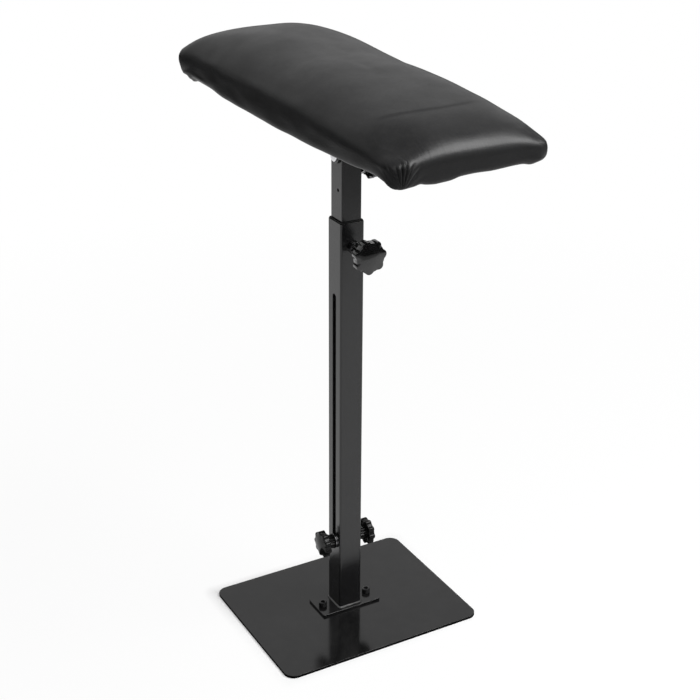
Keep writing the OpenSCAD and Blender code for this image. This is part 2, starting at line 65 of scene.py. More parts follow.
class Body(Enum):
    """The bodies that pieces ride on."""

    BASE = "base"
    CLAMP_SCREW = "clamp_screw"
    MAST = "mast"
    LEFT_SCREW = "left_screw"
    RIGHT_SCREW = "right_screw"
    TILT_SCREW = "tilt_screw"
    PAD = "pad"


class Facing(Enum):
    """The way that a turned piece's axis points."""

    FRONT = (0.0, -1.0, 0.0)
    LEFT = (-1.0, 0.0, 0.0)
    RIGHT = (1.0, 0.0, 0.0)
    UP = (0.0, 0.0, 1.0)
    DOWN = (0.0, 0.0, -1.0)


class NodeSheet:
    """A node tree with short ways to add, set and join its nodes."""

    def __init__(self, tree: bpy.types.NodeTree) -> None:
        """Keeps the tree.

        Args:
            tree: The tree that the nodes go into.
        """
        self.tree = tree

    def add(self, kind: str, inputs: dict | None = None, **settings: object) -> bpy.types.Node:
        """Adds a node.

        Args:
            kind: The node's type name, without the ShaderNode that starts it.
            inputs: Values or output sockets, by input name or number.
            settings: The node's own properties.

        Returns:
            The new node.
        """
        node = self.tree.nodes.new(kind if kind.startswith("Node") else "ShaderNode" + kind)
        for key, value in settings.items():
            setattr(node, key, value)
        for key, value in (inputs or {}).items():
            if isinstance(value, bpy.types.NodeSocket):
                self.tree.links.new(value, node.inputs[key])
            else:
                node.inputs[key].default_value = value
        return node

    def math(self, operation: str, *values: object) -> bpy.types.NodeSocket:
        """Adds a Math node.

        Args:
            operation: The node's operation.
            values: Its inputs in order, numbers or sockets.

        Returns:
            The node's output.
        """
        node = self.add("Math", dict(enumerate(values)), operation=operation)
        return node.outputs[0]

    def span(self, value: bpy.types.NodeSocket, low: float, high: float,
             new_low: float = 0.0, new_high: float = 1.0) -> bpy.types.NodeSocket:
        """Maps a value's range onto another one and clamps it.

        Args:
            value: The socket to map.
            low: Start of the old range.
            high: End of the old range.
            new_low: Start of the new range.
            new_high: End of the new range.

        Returns:
            The mapped value's socket.
        """
        places = dict(enumerate((value, low, high, new_low, new_high)))
        return self.add("MapRange", places, clamp=True).outputs[0]

    def blend(self, share: object, first: object, second: object) -> bpy.types.NodeSocket:
        """Mixes two colours.

        Args:
            share: The second colour's share.
            first: The first colour.
            second: The second colour.

        Returns:
            The mixed colour's socket.
        """
        node = self.add("Mix", data_type="RGBA")
        for place, value in ((0, share), (6, first), (7, second)):
            if isinstance(value, bpy.types.NodeSocket):
                self.tree.links.new(value, node.inputs[place])
            else:
                node.inputs[place].default_value = value
        return node.outputs[2]


def rgba(color: Color) -> tuple[float, float, float, float]:
    """A colour with full alpha."""
    return (*color, 1.0)


def new_group(name: str, numbers: dict[str, float],
              outputs: Iterable[str]) -> tuple[NodeSheet, dict, bpy.types.Node]:
    """Starts a node group with a Vector input, number inputs and value outputs.

    Args:
        name: The group's name.
        numbers: Each number input with its first value.
        outputs: The names of the value outputs.

    Returns:
        The group's sheet, its input sockets by name and its output node.
    """
    tree = bpy.data.node_groups.new(name, "ShaderNodeTree")
    tree.interface.new_socket("Vector", in_out="INPUT", socket_type="NodeSocketVector")
    for key, value in numbers.items():
        tree.interface.new_socket(key, in_out="INPUT", socket_type="NodeSocketFloat").default_value = value
    for key in outputs:
        tree.interface.new_socket(key, in_out="OUTPUT", socket_type="NodeSocketFloat")
    sheet = NodeSheet(tree)
    start = sheet.add("NodeGroupInput")
    end = sheet.add("NodeGroupOutput")
    return sheet, {s.name: s for s in start.outputs if s.name}, end


class Effects:
    """The node groups that several finishes share, each built once."""

    def __init__(self) -> None:
        """Builds the groups."""
        self.speckle = self._speckle()
        self.rubbing = self._rubbing()
        self.dust = self._dust()
        self.pebbles = self._pebbles()

    @staticmethod
    def _speckle() -> bpy.types.NodeTree:
        """Fine even texture of paint or moulded plastic.

        Returns:
            The group, which puts out Height and Mask.
        """
        sheet, given, end = new_group("fine_speckle", {"Scale": 900.0, "Softness": 0.5}, ("Height", "Mask"))
        fine = sheet.add("TexNoise", {"Vector": given["Vector"], "Scale": given["Scale"], "Detail": 3.0,
                                      "Roughness": given["Softness"]})
        broad = sheet.math("MULTIPLY", given["Scale"], 0.04)
        cloud = sheet.add("TexNoise", {"Vector": given["Vector"], "Scale": broad, "Detail": 4.0})
        sheet.tree.links.new(fine.outputs["Fac"], end.inputs["Height"])
        sheet.tree.links.new(sheet.span(cloud.outputs["Fac"], 0.35, 0.7), end.inputs["Mask"])
        return sheet.tree

    @staticmethod
    def _rubbing() -> bpy.types.NodeTree:
        """Faint rub marks and hairlines that run along one way.

        Returns:
            The group, which puts out Mask.
        """
        sheet, given, end = new_group("rub_marks", {"Scale": 60.0, "Stretch": 12.0}, ("Mask",))
        parts = sheet.add("SeparateXYZ", {0: given["Vector"]})
        squeezed = sheet.math("DIVIDE", parts.outputs[2], given["Stretch"])
        along = sheet.add("CombineXYZ", {0: parts.outputs[0], 1: parts.outputs[1], 2: squeezed})
        lines = sheet.add("TexNoise", {"Vector": along.outputs[0], "Scale": given["Scale"], "Detail": 6.0,
                                       "Roughness": 0.7})
        patch_scale = sheet.math("MULTIPLY", given["Scale"], 0.2)
        patches = sheet.add("TexNoise", {"Vector": given["Vector"], "Scale": patch_scale, "Detail": 2.0})
        both = sheet.math("MULTIPLY", sheet.span(lines.outputs["Fac"], 0.5, 0.68),
                          sheet.span(patches.outputs["Fac"], 0.45, 0.7))
        sheet.tree.links.new(both, end.inputs["Mask"])
        return sheet.tree

    @staticmethod
    def _dust() -> bpy.types.NodeTree:
        """Thin settled dust on what faces up.

        Returns:
            The group, which puts out Mask.
        """
        sheet, given, end = new_group("settled_dust", {"Scale": 120.0, "Amount": 0.3}, ("Mask",))
        facing = sheet.add("NewGeometry")
        up = sheet.span(sheet.add("SeparateXYZ", {0: facing.outputs["Normal"]}).outputs[2], 0.3, 1.0)
        grains = sheet.add("TexNoise", {"Vector": given["Vector"], "Scale": given["Scale"], "Detail": 8.0,
                                        "Roughness": 0.8})
        share = sheet.math("MULTIPLY", up, sheet.span(grains.outputs["Fac"], 0.45, 0.8))
        sheet.tree.links.new(sheet.math("MULTIPLY", share, given["Amount"]), end.inputs["Mask"])
        return sheet.tree

    @staticmethod
    def _pebbles() -> bpy.types.NodeTree:
        """Pebbled grain of leather: small raised cells with creases between them.

        Returns:
            The group, which puts out Height, of the grain, and Mask, of its creases.
        """
        sheet, given, end = new_group("leather_grain", {"Scale": 900.0, "Drift": 0.4}, ("Height", "Mask"))
        bend_scale = sheet.math("MULTIPLY", given["Scale"], 0.3)
        bend = sheet.add("TexNoise", {"Vector": given["Vector"], "Scale": bend_scale})
        push = sheet.add("VectorMath", {0: bend.outputs["Color"], "Scale": 0.0008}, operation="SCALE")
        place = sheet.add("VectorMath", {0: given["Vector"], 1: push.outputs[0]}, operation="ADD")
        cells = sheet.add("TexVoronoi", {"Vector": place.outputs[0], "Scale": given["Scale"]},
                          feature="DISTANCE_TO_EDGE")
        swell_scale = sheet.math("MULTIPLY", given["Scale"], 0.12)
        swell = sheet.add("TexNoise", {"Vector": given["Vector"], "Scale": swell_scale, "Detail": 3.0})
        cell = sheet.span(cells.outputs["Distance"], 0.0, 0.25)
        height = sheet.math("ADD", cell, sheet.math("MULTIPLY", swell.outputs["Fac"], given["Drift"]))
        sheet.tree.links.new(height, end.inputs["Height"])
        sheet.tree.links.new(sheet.math("SUBTRACT", 1.0, cell), end.inputs["Mask"])
        return sheet.tree


EFFECTS = Effects()


@dataclass(frozen=True)
class Finish:
    """A surface finish: a base colour that varies a little, a roughness that varies, and a fine relief."""

    name: str
    slot: str
    color: Color
    second: Color
    roughness: tuple[float, float]
    specular: float = 0.5
    metallic: float = 0.0
    coat: float = 0.0
    bump_mm: float = 0.02
    bump_share: float = 0.3
    scale: float = 900.0
    dust: float = 0.25
    dust_tone: Color = (0.12, 0.115, 0.11)
    dust_dulls: float = 0.3
    rub_dulls: float = 0.08
    coat_rough: float = 0.12

    def start(self) -> tuple[bpy.types.Material, NodeSheet, bpy.types.Node, bpy.types.NodeSocket]:
        """Makes the material with its shader's plain numbers set.

        Returns:
            The material, its sheet, its Principled shader and the Object coordinates' socket.
        """
        material = bpy.data.materials.new(self.name)
        material.use_nodes = True
        sheet = NodeSheet(material.node_tree)
        shader = sheet.tree.nodes["Principled BSDF"]
        shader.inputs["Specular IOR Level"].default_value = self.specular
        shader.inputs["Metallic"].default_value = self.metallic
        shader.inputs["Coat Weight"].default_value = self.coat
        shader.inputs["Coat Roughness"].default_value = self.coat_rough
        place = sheet.add("TexCoord").outputs["Object"]
        return material, sheet, shader, place

    def effect(self, sheet: NodeSheet, tree: bpy.types.NodeTree, place: bpy.types.NodeSocket,
               **numbers: float) -> bpy.types.Node:
        """Places one of the shared effects.

        Args:
            sheet: The material's sheet.
            tree: The effect's group.
            place: The coordinates it reads.
            numbers: Its number inputs.

        Returns:
            The group's node.
        """
        node = sheet.add("Group", node_tree=tree)
        sheet.tree.links.new(place, node.inputs["Vector"])
        for key, value in numbers.items():
            node.inputs[key].default_value = value
        return node

    def relief(self, sheet: NodeSheet, shader: bpy.types.Node, height: bpy.types.NodeSocket) -> None:
        """Puts a height onto the shader's normal.

        Args:
            sheet: The material's sheet.
            shader: The material's shader.
            height: The height's socket.
        """
        bump = sheet.add("Bump", {"Height": height, "Distance": self.bump_mm * MM,
                                  "Strength": self.bump_share})
        sheet.tree.links.new(bump.outputs["Normal"], shader.inputs["Normal"])

    def build(self) -> bpy.types.Material:
        """Makes the material.

        Returns:
            The finished material.
        """
        material, sheet, shader, place = self.start()
        speckle = self.effect(sheet, EFFECTS.speckle, place, Scale=self.scale)
        rub = self.effect(sheet, EFFECTS.rubbing, place)
        dust = self.effect(sheet, EFFECTS.dust, place, Amount=self.dust)
        tone = sheet.blend(speckle.outputs["Mask"], rgba(self.color), rgba(self.second))
        tone = sheet.blend(dust.outputs["Mask"], tone, rgba(self.dust_tone))
        sheet.tree.links.new(tone, shader.inputs["Base Color"])
        rough = sheet.span(speckle.outputs["Mask"], 0.0, 1.0, *self.roughness)
        rough = sheet.math("ADD", rough, sheet.math("MULTIPLY", rub.outputs["Mask"], self.rub_dulls))
        rough = sheet.math("ADD", rough, sheet.math("MULTIPLY", dust.outputs["Mask"], self.dust_dulls))
        sheet.tree.links.new(rough, shader.inputs["Roughness"])
        self.relief(sheet, shader, speckle.outputs["Height"])
        return material


@dataclass(frozen=True)
class ZincFinish(Finish):
    """Bright zinc plate: a metal with a fine crystalline bloom and hairlines."""

    rub_dulls: float = 0.15
    bloom_scale: float = 420.0

    def build(self) -> bpy.types.Material:
        """Makes the material.

        Returns:
            The finished material.
        """
        material, sheet, shader, place = self.start()
        rub = self.effect(sheet, EFFECTS.rubbing, place, Scale=300.0, Stretch=6.0)
        bloom = sheet.add("TexVoronoi", {"Vector": place, "Scale": self.bloom_scale})
        tone = sheet.blend(bloom.outputs["Distance"], rgba(self.color), rgba(self.second))
        sheet.tree.links.new(tone, shader.inputs["Base Color"])
        rough = sheet.span(bloom.outputs["Distance"], 0.0, 0.8, *self.roughness)
        rough = sheet.math("ADD", rough, sheet.math("MULTIPLY", rub.outputs["Mask"], self.rub_dulls))
        sheet.tree.links.new(rough, shader.inputs["Roughness"])
        self.relief(sheet, shader, rub.outputs["Mask"])
        return material


@dataclass(frozen=True)
class PlasticFinish(Finish):
    """Moulded plastic: glossy where hands turn it, duller near the floor."""

    dull: float = 0.14
    dull_until: float = 0.15
    glossy_from: float = 0.3

    def build(self) -> bpy.types.Material:
        """Makes the material.

        Returns:
            The finished material.
        """
        material = super().build()
        sheet = NodeSheet(material.node_tree)
        shader = sheet.tree.nodes["Principled BSDF"]
        place = sheet.add("TexCoord").outputs["Object"]
        height = sheet.add("SeparateXYZ", {0: place}).outputs["Z"]
        for name, near_floor, above in (("Specular IOR Level", self.dull, self.specular),
                                        ("Coat Weight", 0.0, self.coat)):
            gloss = sheet.span(height, self.dull_until, self.glossy_from, near_floor, above)
            sheet.tree.links.new(gloss, shader.inputs[name])
        return material


@dataclass(frozen=True)
class LeatherFinish(Finish):
    """Smooth synthetic leather: faint grain and streaks, dull on its walls, finely puckered over the end.

    The pairs are distances from the cover's lowest corner, in metres, between which a share goes from 0 to 1.
    """

    dull: float = 0.1
    dust: float = 0.12
    dust_tone: Color = (0.1, 0.098, 0.095)
    polish_up: tuple[float, float] = (0.012, 0.036)
    polish_end: tuple[float, float] = (0.045, 0.02)
    polish_side: tuple[float, float] = (0.008, 0.022)
    rim_facing: tuple[float, float] = (-0.45, -0.85)
    pucker_end: tuple[float, float] = (0.012, 0.034)
    pucker_up: tuple[float, float] = (0.012, 0.024)
    pucker_share: float = 15.0
    streak_share: float = 0.7
    stretch: float = 0.12

    def polish(self, sheet: NodeSheet, split: bpy.types.Node, low: Vector) -> bpy.types.NodeSocket:
        """Where the leather shines: on top, over the near left corner, and on the rim that faces down.

        Args:
            sheet: The material's sheet.
            split: The coordinates' parts.
            low: The cover's lowest corner.

        Returns:
            The specular level's socket.
        """
        end = sheet.span(split.outputs["Y"], *(low.y + off for off in self.polish_end))
        side = sheet.span(split.outputs["X"], *(low.x + off for off in self.polish_side))
        top = sheet.span(split.outputs["Z"], *(low.z + off for off in self.polish_up))
        facing = sheet.add("SeparateXYZ", {0: sheet.add("NewGeometry").outputs["Normal"]}).outputs["Z"]
        share = sheet.math("MAXIMUM", top, sheet.math("MULTIPLY", end, side))
        share = sheet.math("MAXIMUM", share, sheet.span(facing, *self.rim_facing))
        return sheet.span(share, 0.0, 1.0, self.dull, self.specular)

    def puckers(self, sheet: NodeSheet, split: bpy.types.Node, place: bpy.types.NodeSocket,
                low: Vector) -> bpy.types.NodeSocket:
        """Fine upright puckers where the leather is drawn over the near end.

        Args:
            sheet: The material's sheet.
            split: The coordinates' parts.
            place: The coordinates.
            low: The cover's lowest corner.

        Returns:
            The puckers' height.
        """
        upright = sheet.add("VectorMath", {0: place, 1: (1.0, self.stretch, 0.1)}, operation="MULTIPLY")
        folds = sheet.add("TexNoise", {"Vector": upright.outputs[0], "Scale": 430.0, "Detail": 2.0})
        near, far = (low.y + off for off in self.pucker_end)
        end = sheet.span(split.outputs["Y"], near, far, self.pucker_share, 0.0)
        up = sheet.span(split.outputs["Z"], *(low.z + off for off in self.pucker_up))
        return sheet.math("MULTIPLY", folds.outputs["Fac"], sheet.math("MULTIPLY", end, up))

    def build(self) -> bpy.types.Material:
        """Makes the material.

        Returns:
            The finished material.
        """
        material, sheet, shader, place = self.start()
        grain = self.effect(sheet, EFFECTS.pebbles, place, Scale=self.scale)
        cloud = self.effect(sheet, EFFECTS.speckle, place, Scale=700.0)
        dust = self.effect(sheet, EFFECTS.dust, place, Amount=self.dust)
        # Painted shade: the grain's creases take the darker second colour.
        tone = sheet.blend(grain.outputs["Mask"], rgba(self.color), rgba(self.second))
        tone = sheet.blend(dust.outputs["Mask"], tone, rgba(self.dust_tone))
        sheet.tree.links.new(tone, shader.inputs["Base Color"])
        rough = sheet.span(cloud.outputs["Mask"], 0.0, 1.0, *self.roughness)
        rough = sheet.math("ADD", rough, sheet.math("MULTIPLY", grain.outputs["Mask"], 0.05))
        sheet.tree.links.new(rough, shader.inputs["Roughness"])
        split = sheet.add("SeparateXYZ", {0: place})
        low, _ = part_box("pad_cover")
        sheet.tree.links.new(self.polish(sheet, split, low), shader.inputs["Specular IOR Level"])
        across = sheet.add("VectorMath", {0: place, 1: (self.stretch, 1.0, 1.0)}, operation="MULTIPLY")
        streaks = sheet.add("TexNoise", {"Vector": across.outputs[0], "Scale": 420.0, "Detail": 3.0})
        streaked = sheet.math("MULTIPLY", streaks.outputs["Fac"], self.streak_share)
        height = sheet.math("ADD", grain.outputs["Height"], streaked)
        height = sheet.math("ADD", height, self.puckers(sheet, split, place, low))
        self.relief(sheet, shader, height)
        return material


@dataclass(frozen=True)
class ClothFinish(Finish):
    """Non-woven cloth: pressed fibres with a grid of small weld dimples."""

    def build(self) -> bpy.types.Material:
        """Makes the material.

        Returns:
            The finished material.
        """
        material, sheet, shader, place = self.start()
        fibre = sheet.add("TexNoise", {"Vector": place, "Scale": 2600.0, "Detail": 4.0, "Distortion": 1.5})
        dimple = sheet.add("TexVoronoi", {"Vector": place, "Scale": 420.0, "Randomness": 0.15})
        spot = sheet.span(dimple.outputs["Distance"], 0.12, 0.3)
        tone = sheet.blend(fibre.outputs["Fac"], rgba(self.color), rgba(self.second))
        pressed = sheet.math("MULTIPLY", sheet.math("SUBTRACT", 1.0, spot), 0.5)
        tone = sheet.blend(pressed, tone, rgba(self.color))
        sheet.tree.links.new(tone, shader.inputs["Base Color"])
        rough = sheet.span(fibre.outputs["Fac"], 0.3, 0.7, *self.roughness)
        sheet.tree.links.new(rough, shader.inputs["Roughness"])
        self.relief(sheet, shader, sheet.math("ADD", spot, sheet.math("MULTIPLY", fibre.outputs["Fac"], 0.5)))
        return material


@dataclass(frozen=True)
class FoamFinish(Finish):
    """Open-cell foam: round cells of mixed size, with painted shade in their hollows."""

    def build(self) -> bpy.types.Material:
        """Makes the material.

        Returns:
            The finished material.
        """
        material, sheet, shader, place = self.start()
        cells = sheet.add("TexVoronoi", {"Vector": place, "Scale": self.scale})
        big = sheet.add("TexVoronoi", {"Vector": place, "Scale": self.scale / 3})
        mask = sheet.span(big.outputs["Distance"], 0.0, 0.4)
        depth = sheet.math("MULTIPLY", cells.outputs["Distance"], mask)
        # Painted shade: the cells' hollows take the darker second colour.
        tone = sheet.blend(depth, rgba(self.second), rgba(self.color))
        sheet.tree.links.new(tone, shader.inputs["Base Color"])
        rough = sheet.span(depth, 0.0, 0.6, *self.roughness)
        sheet.tree.links.new(rough, shader.inputs["Roughness"])
        self.relief(sheet, shader, depth)
        return material


@dataclass(frozen=True)
class PlywoodFinish(Finish):
    """Birch plywood: long grain on the faces and thin plies across the edges."""

    ply_mm: float = 1.4

    def build(self) -> bpy.types.Material:
        """Makes the material.

        Returns:
            The finished material.
        """
        material, sheet, shader, place = self.start()
        parts = sheet.add("SeparateXYZ", {0: place})
        along = sheet.add("VectorMath", {0: place, 1: (1.0, 0.06, 1.0)}, operation="MULTIPLY")
        grain = sheet.add("TexNoise", {"Vector": along.outputs[0], "Scale": 260.0, "Detail": 6.0,
                                       "Distortion": 0.6})
        plies = sheet.math("PINGPONG", parts.outputs[2], self.ply_mm * MM)
        edge = sheet.span(plies, 0.0, self.ply_mm * MM)
        facing = sheet.add("NewGeometry").outputs["Normal"]
        side = sheet.math("ABSOLUTE", sheet.add("SeparateXYZ", {0: facing}).outputs[2])
        mark = sheet.math("ADD", sheet.math("MULTIPLY", grain.outputs["Fac"], side),
                          sheet.math("MULTIPLY", edge, sheet.math("SUBTRACT", 1.0, side)))
        tone = sheet.blend(mark, rgba(self.color), rgba(self.second))
        sheet.tree.links.new(tone, shader.inputs["Base Color"])
        rough = sheet.span(grain.outputs["Fac"], 0.3, 0.7, *self.roughness)
        sheet.tree.links.new(rough, shader.inputs["Roughness"])
        self.relief(sheet, shader, mark)
        return material


FINISHES = (
    Finish("plate_enamel", "black_enamel", (0.004, 0.004, 0.0042), (0.007, 0.007, 0.0073), (0.11, 0.16),
           bump_mm=0.03, bump_share=0.12, scale=700.0, dust=0.08),
    Finish("tube_enamel", "post_enamel", (0.01, 0.01, 0.0105), (0.013, 0.013, 0.0135), (0.17, 0.23),
           bump_mm=0.02, bump_share=0.1, scale=600.0),
    # The weld bead's grey, half-metal colour is lighter than the black paint it wears, to stand in for its
    # glint: a painted highlight.
    Finish("weld_with_painted_glint", "weld_bead", (0.2, 0.2, 0.2), (0.03, 0.03, 0.03), (0.2, 0.34),
           metallic=0.5, bump_mm=0.15, bump_share=0.7, scale=900.0),
    Finish("blackened_screw", "black_screw", (0.006, 0.006, 0.0065), (0.012, 0.012, 0.013), (0.2, 0.28),
           specular=0.55, bump_mm=0.02, bump_share=0.2, scale=1500.0),
    Finish("nylon", "black_nylon", (0.006, 0.006, 0.006), (0.01, 0.01, 0.01), (0.5, 0.62),
           specular=0.25, bump_mm=0.03, bump_share=0.3, scale=1800.0),
    PlasticFinish("moulded_plastic", "knob_plastic", (0.005, 0.005, 0.0052), (0.008, 0.008, 0.0082),
                  (0.1, 0.15), coat=0.3, bump_mm=0.02, bump_share=0.12, scale=1600.0),
    ZincFinish("zinc_plate", "zinc_steel", (0.62, 0.62, 0.64), (0.74, 0.74, 0.75), (0.16, 0.3),
               metallic=1.0, bump_mm=0.01, bump_share=0.3),
    ZincFinish("galvanised_wire", "staple_wire", (0.6, 0.6, 0.62), (0.7, 0.7, 0.72), (0.25, 0.4),
               metallic=1.0, bump_mm=0.01, bump_share=0.3),
    PlywoodFinish("birch_plywood", "plywood", (0.58, 0.42, 0.25), (0.72, 0.56, 0.37), (0.6, 0.75),
                  specular=0.3, bump_mm=0.05),
    FoamFinish("cushion_foam", "pad_foam", (0.82, 0.76, 0.56), (0.45, 0.4, 0.27), (0.8, 0.95),
               specular=0.1, bump_mm=0.4, bump_share=0.8, scale=700.0),
    LeatherFinish("soft_leather", "black_leather", (0.02, 0.02, 0.0205), (0.012, 0.012, 0.0123), (0.34, 0.41),
                  specular=0.28, bump_mm=0.08, bump_share=0.2, scale=900.0),
    ClothFinish("pressed_cloth", "dust_cloth", (0.01, 0.01, 0.011), (0.028, 0.028, 0.03), (0.8, 0.95),
                specular=0.1, bump_mm=0.15, bump_share=0.6),
)
MATERIALS = {finish.slot: finish.build() for finish in FINISHES}
SLOT_OF = {row["node"]: row["material_slot"] for row in FRAME["record"]["subparts"]}


def smooth_step(value: float) -> float:
    """A smooth step from 0 to 1."""
    t = min(max(value, 0.0), 1.0)
    return t * t * (3.0 - 2.0 * t)


@dataclass(frozen=True)
class Bell:
    """A share that is 1 in the middle and dies out over its spread on both sides."""

    middle: float
    spread: float

    def at(self, place: float) -> float:
        """The share at a place."""
        return math.exp(-(((place - self.middle) / self.spread) ** 2))


@dataclass(frozen=True)
class Ramp:
    """A share that goes smoothly from 0 at its start to 1 at its end, on whichever side the end lies."""

    start: float
    end: float

    def at(self, place: float) -> float:
        """The share at a place."""
        return smooth_step((place - self.start) / (self.end - self.start))


@dataclass(frozen=True)
class Climb:
    """A share that grows by 1 with each millimetre past its start."""

    start: float

    def at(self, place: float) -> float:
        """The share at a place."""
        return max(0.0, place - self.start)


Share = Bell | Ramp | Climb


@dataclass(frozen=True)
class Move:
    """A local move in millimetres, with its share across, along and up the pad."""

    by: tuple[float, float, float]
    across: Share
    along: Share
    up: Share
    off_board: bool = False

    def share(self, point: Vector, up: float) -> float:
        """The share of the move that a point gets.

        Args:
            point: The point, in millimetres.
            up: Its height over the pad's underside.

        Returns:
            The share.
        """
        share = self.up.at(up)
        return share * self.across.at(point.x) * self.along.at(point.y) if share else 0.0


@dataclass
class Workpiece:
    """A piece on the bench: a bmesh in millimetres that becomes a named object in the frame."""

    name: str
    body: Body
    slot: str
    mesh: bmesh.types.BMesh = field(default_factory=bmesh.new)

    def place(self, start: Vector, facing: Facing, turn: float = 0.0) -> None:
        """Moves what was built along +Z from the origin to its place.

        Args:
            start: Where the piece's own origin goes, in millimetres.
            facing: The way its axis points.
            turn: Its turn about that axis, in degrees.
        """
        aim = Vector(facing.value).to_track_quat("Z", "Y").to_matrix().to_4x4()
        spin = Matrix.Rotation(math.radians(turn), 4, "Z")
        bmesh.ops.transform(self.mesh, matrix=Matrix.Translation(start) @ aim @ spin, verts=self.mesh.verts)

    def finish(self, replaces: Sequence[str] = (), sharp_deg: float = 35.0) -> bpy.types.Object:
        """Closes the work: doubles merged, faces turned outwards, smooth shading and the finish put on.

        Args:
            replaces: The CAD nodes that the piece stands for.
            sharp_deg: The angle from which an edge stays sharp, in degrees.

        Returns:
            The finished object, which rides on its body.
        """
        bmesh.ops.remove_doubles(self.mesh, verts=self.mesh.verts, dist=0.0005)
        bmesh.ops.recalc_face_normals(self.mesh, faces=self.mesh.faces)
        bmesh.ops.scale(self.mesh, vec=(MM, MM, MM), verts=self.mesh.verts)
        data = bpy.data.meshes.new(self.name)
        self.mesh.to_mesh(data)
        self.mesh.free()
        return dress(data, self.name, self.body, self.slot, replaces, sharp_deg)


def dress(data: bpy.types.Mesh, name: str, body: Body, slot: str, replaces: Sequence[str],
          sharp_deg: float) -> bpy.types.Object:
    """Makes a mesh into a finished object of the leg rest.

    Args:
        data: The mesh, in metres and in its place.
        name: The piece's name.
        body: The body that it rides on.
        slot: Its material slot in the record.
        replaces: The CAD nodes that it stands for.
        sharp_deg: The angle from which an edge stays sharp, in degrees.

    Returns:
        The object.
    """
    data.materials.clear()
    data.materials.append(MATERIALS[slot])
    data.shade_smooth()
    data.set_sharp_from_angle(angle=math.radians(sharp_deg))
    piece = bpy.data.objects.new(name, data)
    bpy.context.scene.collection.objects.link(piece)
    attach(piece, body.value)
    if replaces:
        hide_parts(*replaces)
    LOG.info("%s: %d faces on %s", name, len(data.polygons), body.value)
    return piece


Ring = list[Vector]


def loft(mesh: bmesh.types.BMesh, rings: Sequence[Ring], caps: bool = True) -> None:
    """Builds a skin through rings of equal counts: one circle of edges, extruded from ring to ring.

    Args:
        mesh: The bmesh to build in.
        rings: The points of each ring, in order.
        caps: Whether the two ends are closed.
    """
    place = mesh.verts.layers.int.new("place")
    made = bmesh.ops.create_circle(mesh, cap_ends=False, segments=len(rings[0]), radius=1.0)
    verts = made["verts"]
    for number, vert in enumerate(verts):
        vert[place] = number
        vert.co = rings[0][number]
    edges = list({e for v in verts for e in v.link_edges})
    for ring in rings[1:]:
        made = bmesh.ops.extrude_edge_only(mesh, edges=edges)
        verts = {g for g in made["geom"] if isinstance(g, bmesh.types.BMVert)}
        edges = [g for g in made["geom"] if isinstance(g, bmesh.types.BMEdge) and set(g.verts) <= verts]
        for vert in verts:
            vert.co = ring[vert[place]]
    if caps:
        bmesh.ops.holes_fill(mesh, edges=[e for e in mesh.edges if e.is_boundary], sides=0)


def turned(outline: Outline, height: float | Outline, segments: int) -> Ring:
    """A ring round the Z axis.

    Args:
        outline: Its radius by angle.
        height: Its height, a number or a function of the angle.
        segments: The number of its points.

    Returns:
        The ring's points.
    """
    points = []
    for number in range(segments):
        angle = 2 * math.pi * number / segments
        radius = outline(angle)
        rise = height(angle) if callable(height) else height
        points.append(Vector((radius * math.cos(angle), radius * math.sin(angle), rise)))
    return points


def turn_up(mesh: bmesh.types.BMesh, levels: Sequence[Level], segments: int) -> None:
    """Builds a turned form with capped ends from outlines and heights."""
    loft(mesh, [turned(outline, height, segments) for outline, height in levels])


def round_outline(radius: float) -> Outline:
    """A circle's outline."""
    return lambda angle: radius


def sided_outline(across: float, sides: int, round_r: float = 1e9) -> Outline:
    """A regular polygon's outline, by its width over the flats, cut back to a circle at its corners."""
    sector = 2 * math.pi / sides
    return lambda angle: min(round_r, across / 2 / math.cos((angle + sector / 2) % sector - sector / 2))


def knurled_outline(radius: float, ridges: int, depth: float) -> Outline:
    """A knurled circle's outline."""
    return lambda angle: radius - depth * abs(math.sin(ridges * angle / 2))


def star_outline(radius: float, lobes: int, lobe_r: float, valley_r: float, inset: float = 0.0,
                 sharp: int = 24) -> Outline:
    """A knob's outline: round lobes on a circle, with a rounded valley between each two.

    Args:
        radius: The knob's outer radius.
        lobes: The number of lobes.
        lobe_r: A lobe's radius.
        valley_r: The knob's radius in its valleys.
        inset: How far the outline is drawn in.
        sharp: How sharply the lobes and valleys meet.

    Returns:
        The outline.
    """
    sector = 2 * math.pi / lobes
    centre = radius - lobe_r

    def outline(angle: float) -> float:
        """The outline's radius.

        Args:
            angle: The angle.

        Returns:
            The radius.
        """
        off = (angle + sector / 2) % sector - sector / 2
        reach = lobe_r * lobe_r - (centre * math.sin(off)) ** 2
        lobe = centre * math.cos(off) + math.sqrt(reach) if reach > 0 else 0.0
        return ((lobe / radius) ** sharp + (valley_r / radius) ** sharp) ** (1 / sharp) * radius - inset
    return outline


@dataclass
class Placed:
    """Where a turned CAD node starts, read from the frame."""

    node: str
    facing: Facing

    def span(self) -> tuple[Vector, float]:
        """The middle of the node's first face along its axis, and its length, in millimetres.

        Returns:
            The start point and the length.
        """
        low, high = (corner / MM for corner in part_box(self.node))
        axis = Vector(self.facing.value)
        middle = (low + high) / 2
        length = abs((high - low).dot(axis))
        return middle - axis * (length / 2), length


def solids_of(node: str) -> list[tuple[Vector, Vector]]:
    """Finds the separate solids of a CAD node.

    Args:
        node: The node's name.

    Returns:
        The lowest and highest corners of each solid, in millimetres.
    """
    work = bmesh.new()
    work.from_mesh(FRAME["nodes"][node].data)
    bmesh.ops.remove_doubles(work, verts=work.verts, dist=1e-6)
    left = set(work.verts)
    found = []
    while left:
        group = [left.pop()]
        for vert in group:
            for edge in vert.link_edges:
                other = edge.other_vert(vert)
                if other in left:
                    left.discard(other)
                    group.append(other)
        corners = [[f(v.co[i] for v in group) / MM for i in range(3)] for f in (min, max)]
        found.append((Vector(corners[0]), Vector(corners[1])))
    work.free()
    return sorted(found, key=lambda pair: (round(pair[0].x), round(pair[0].y)))


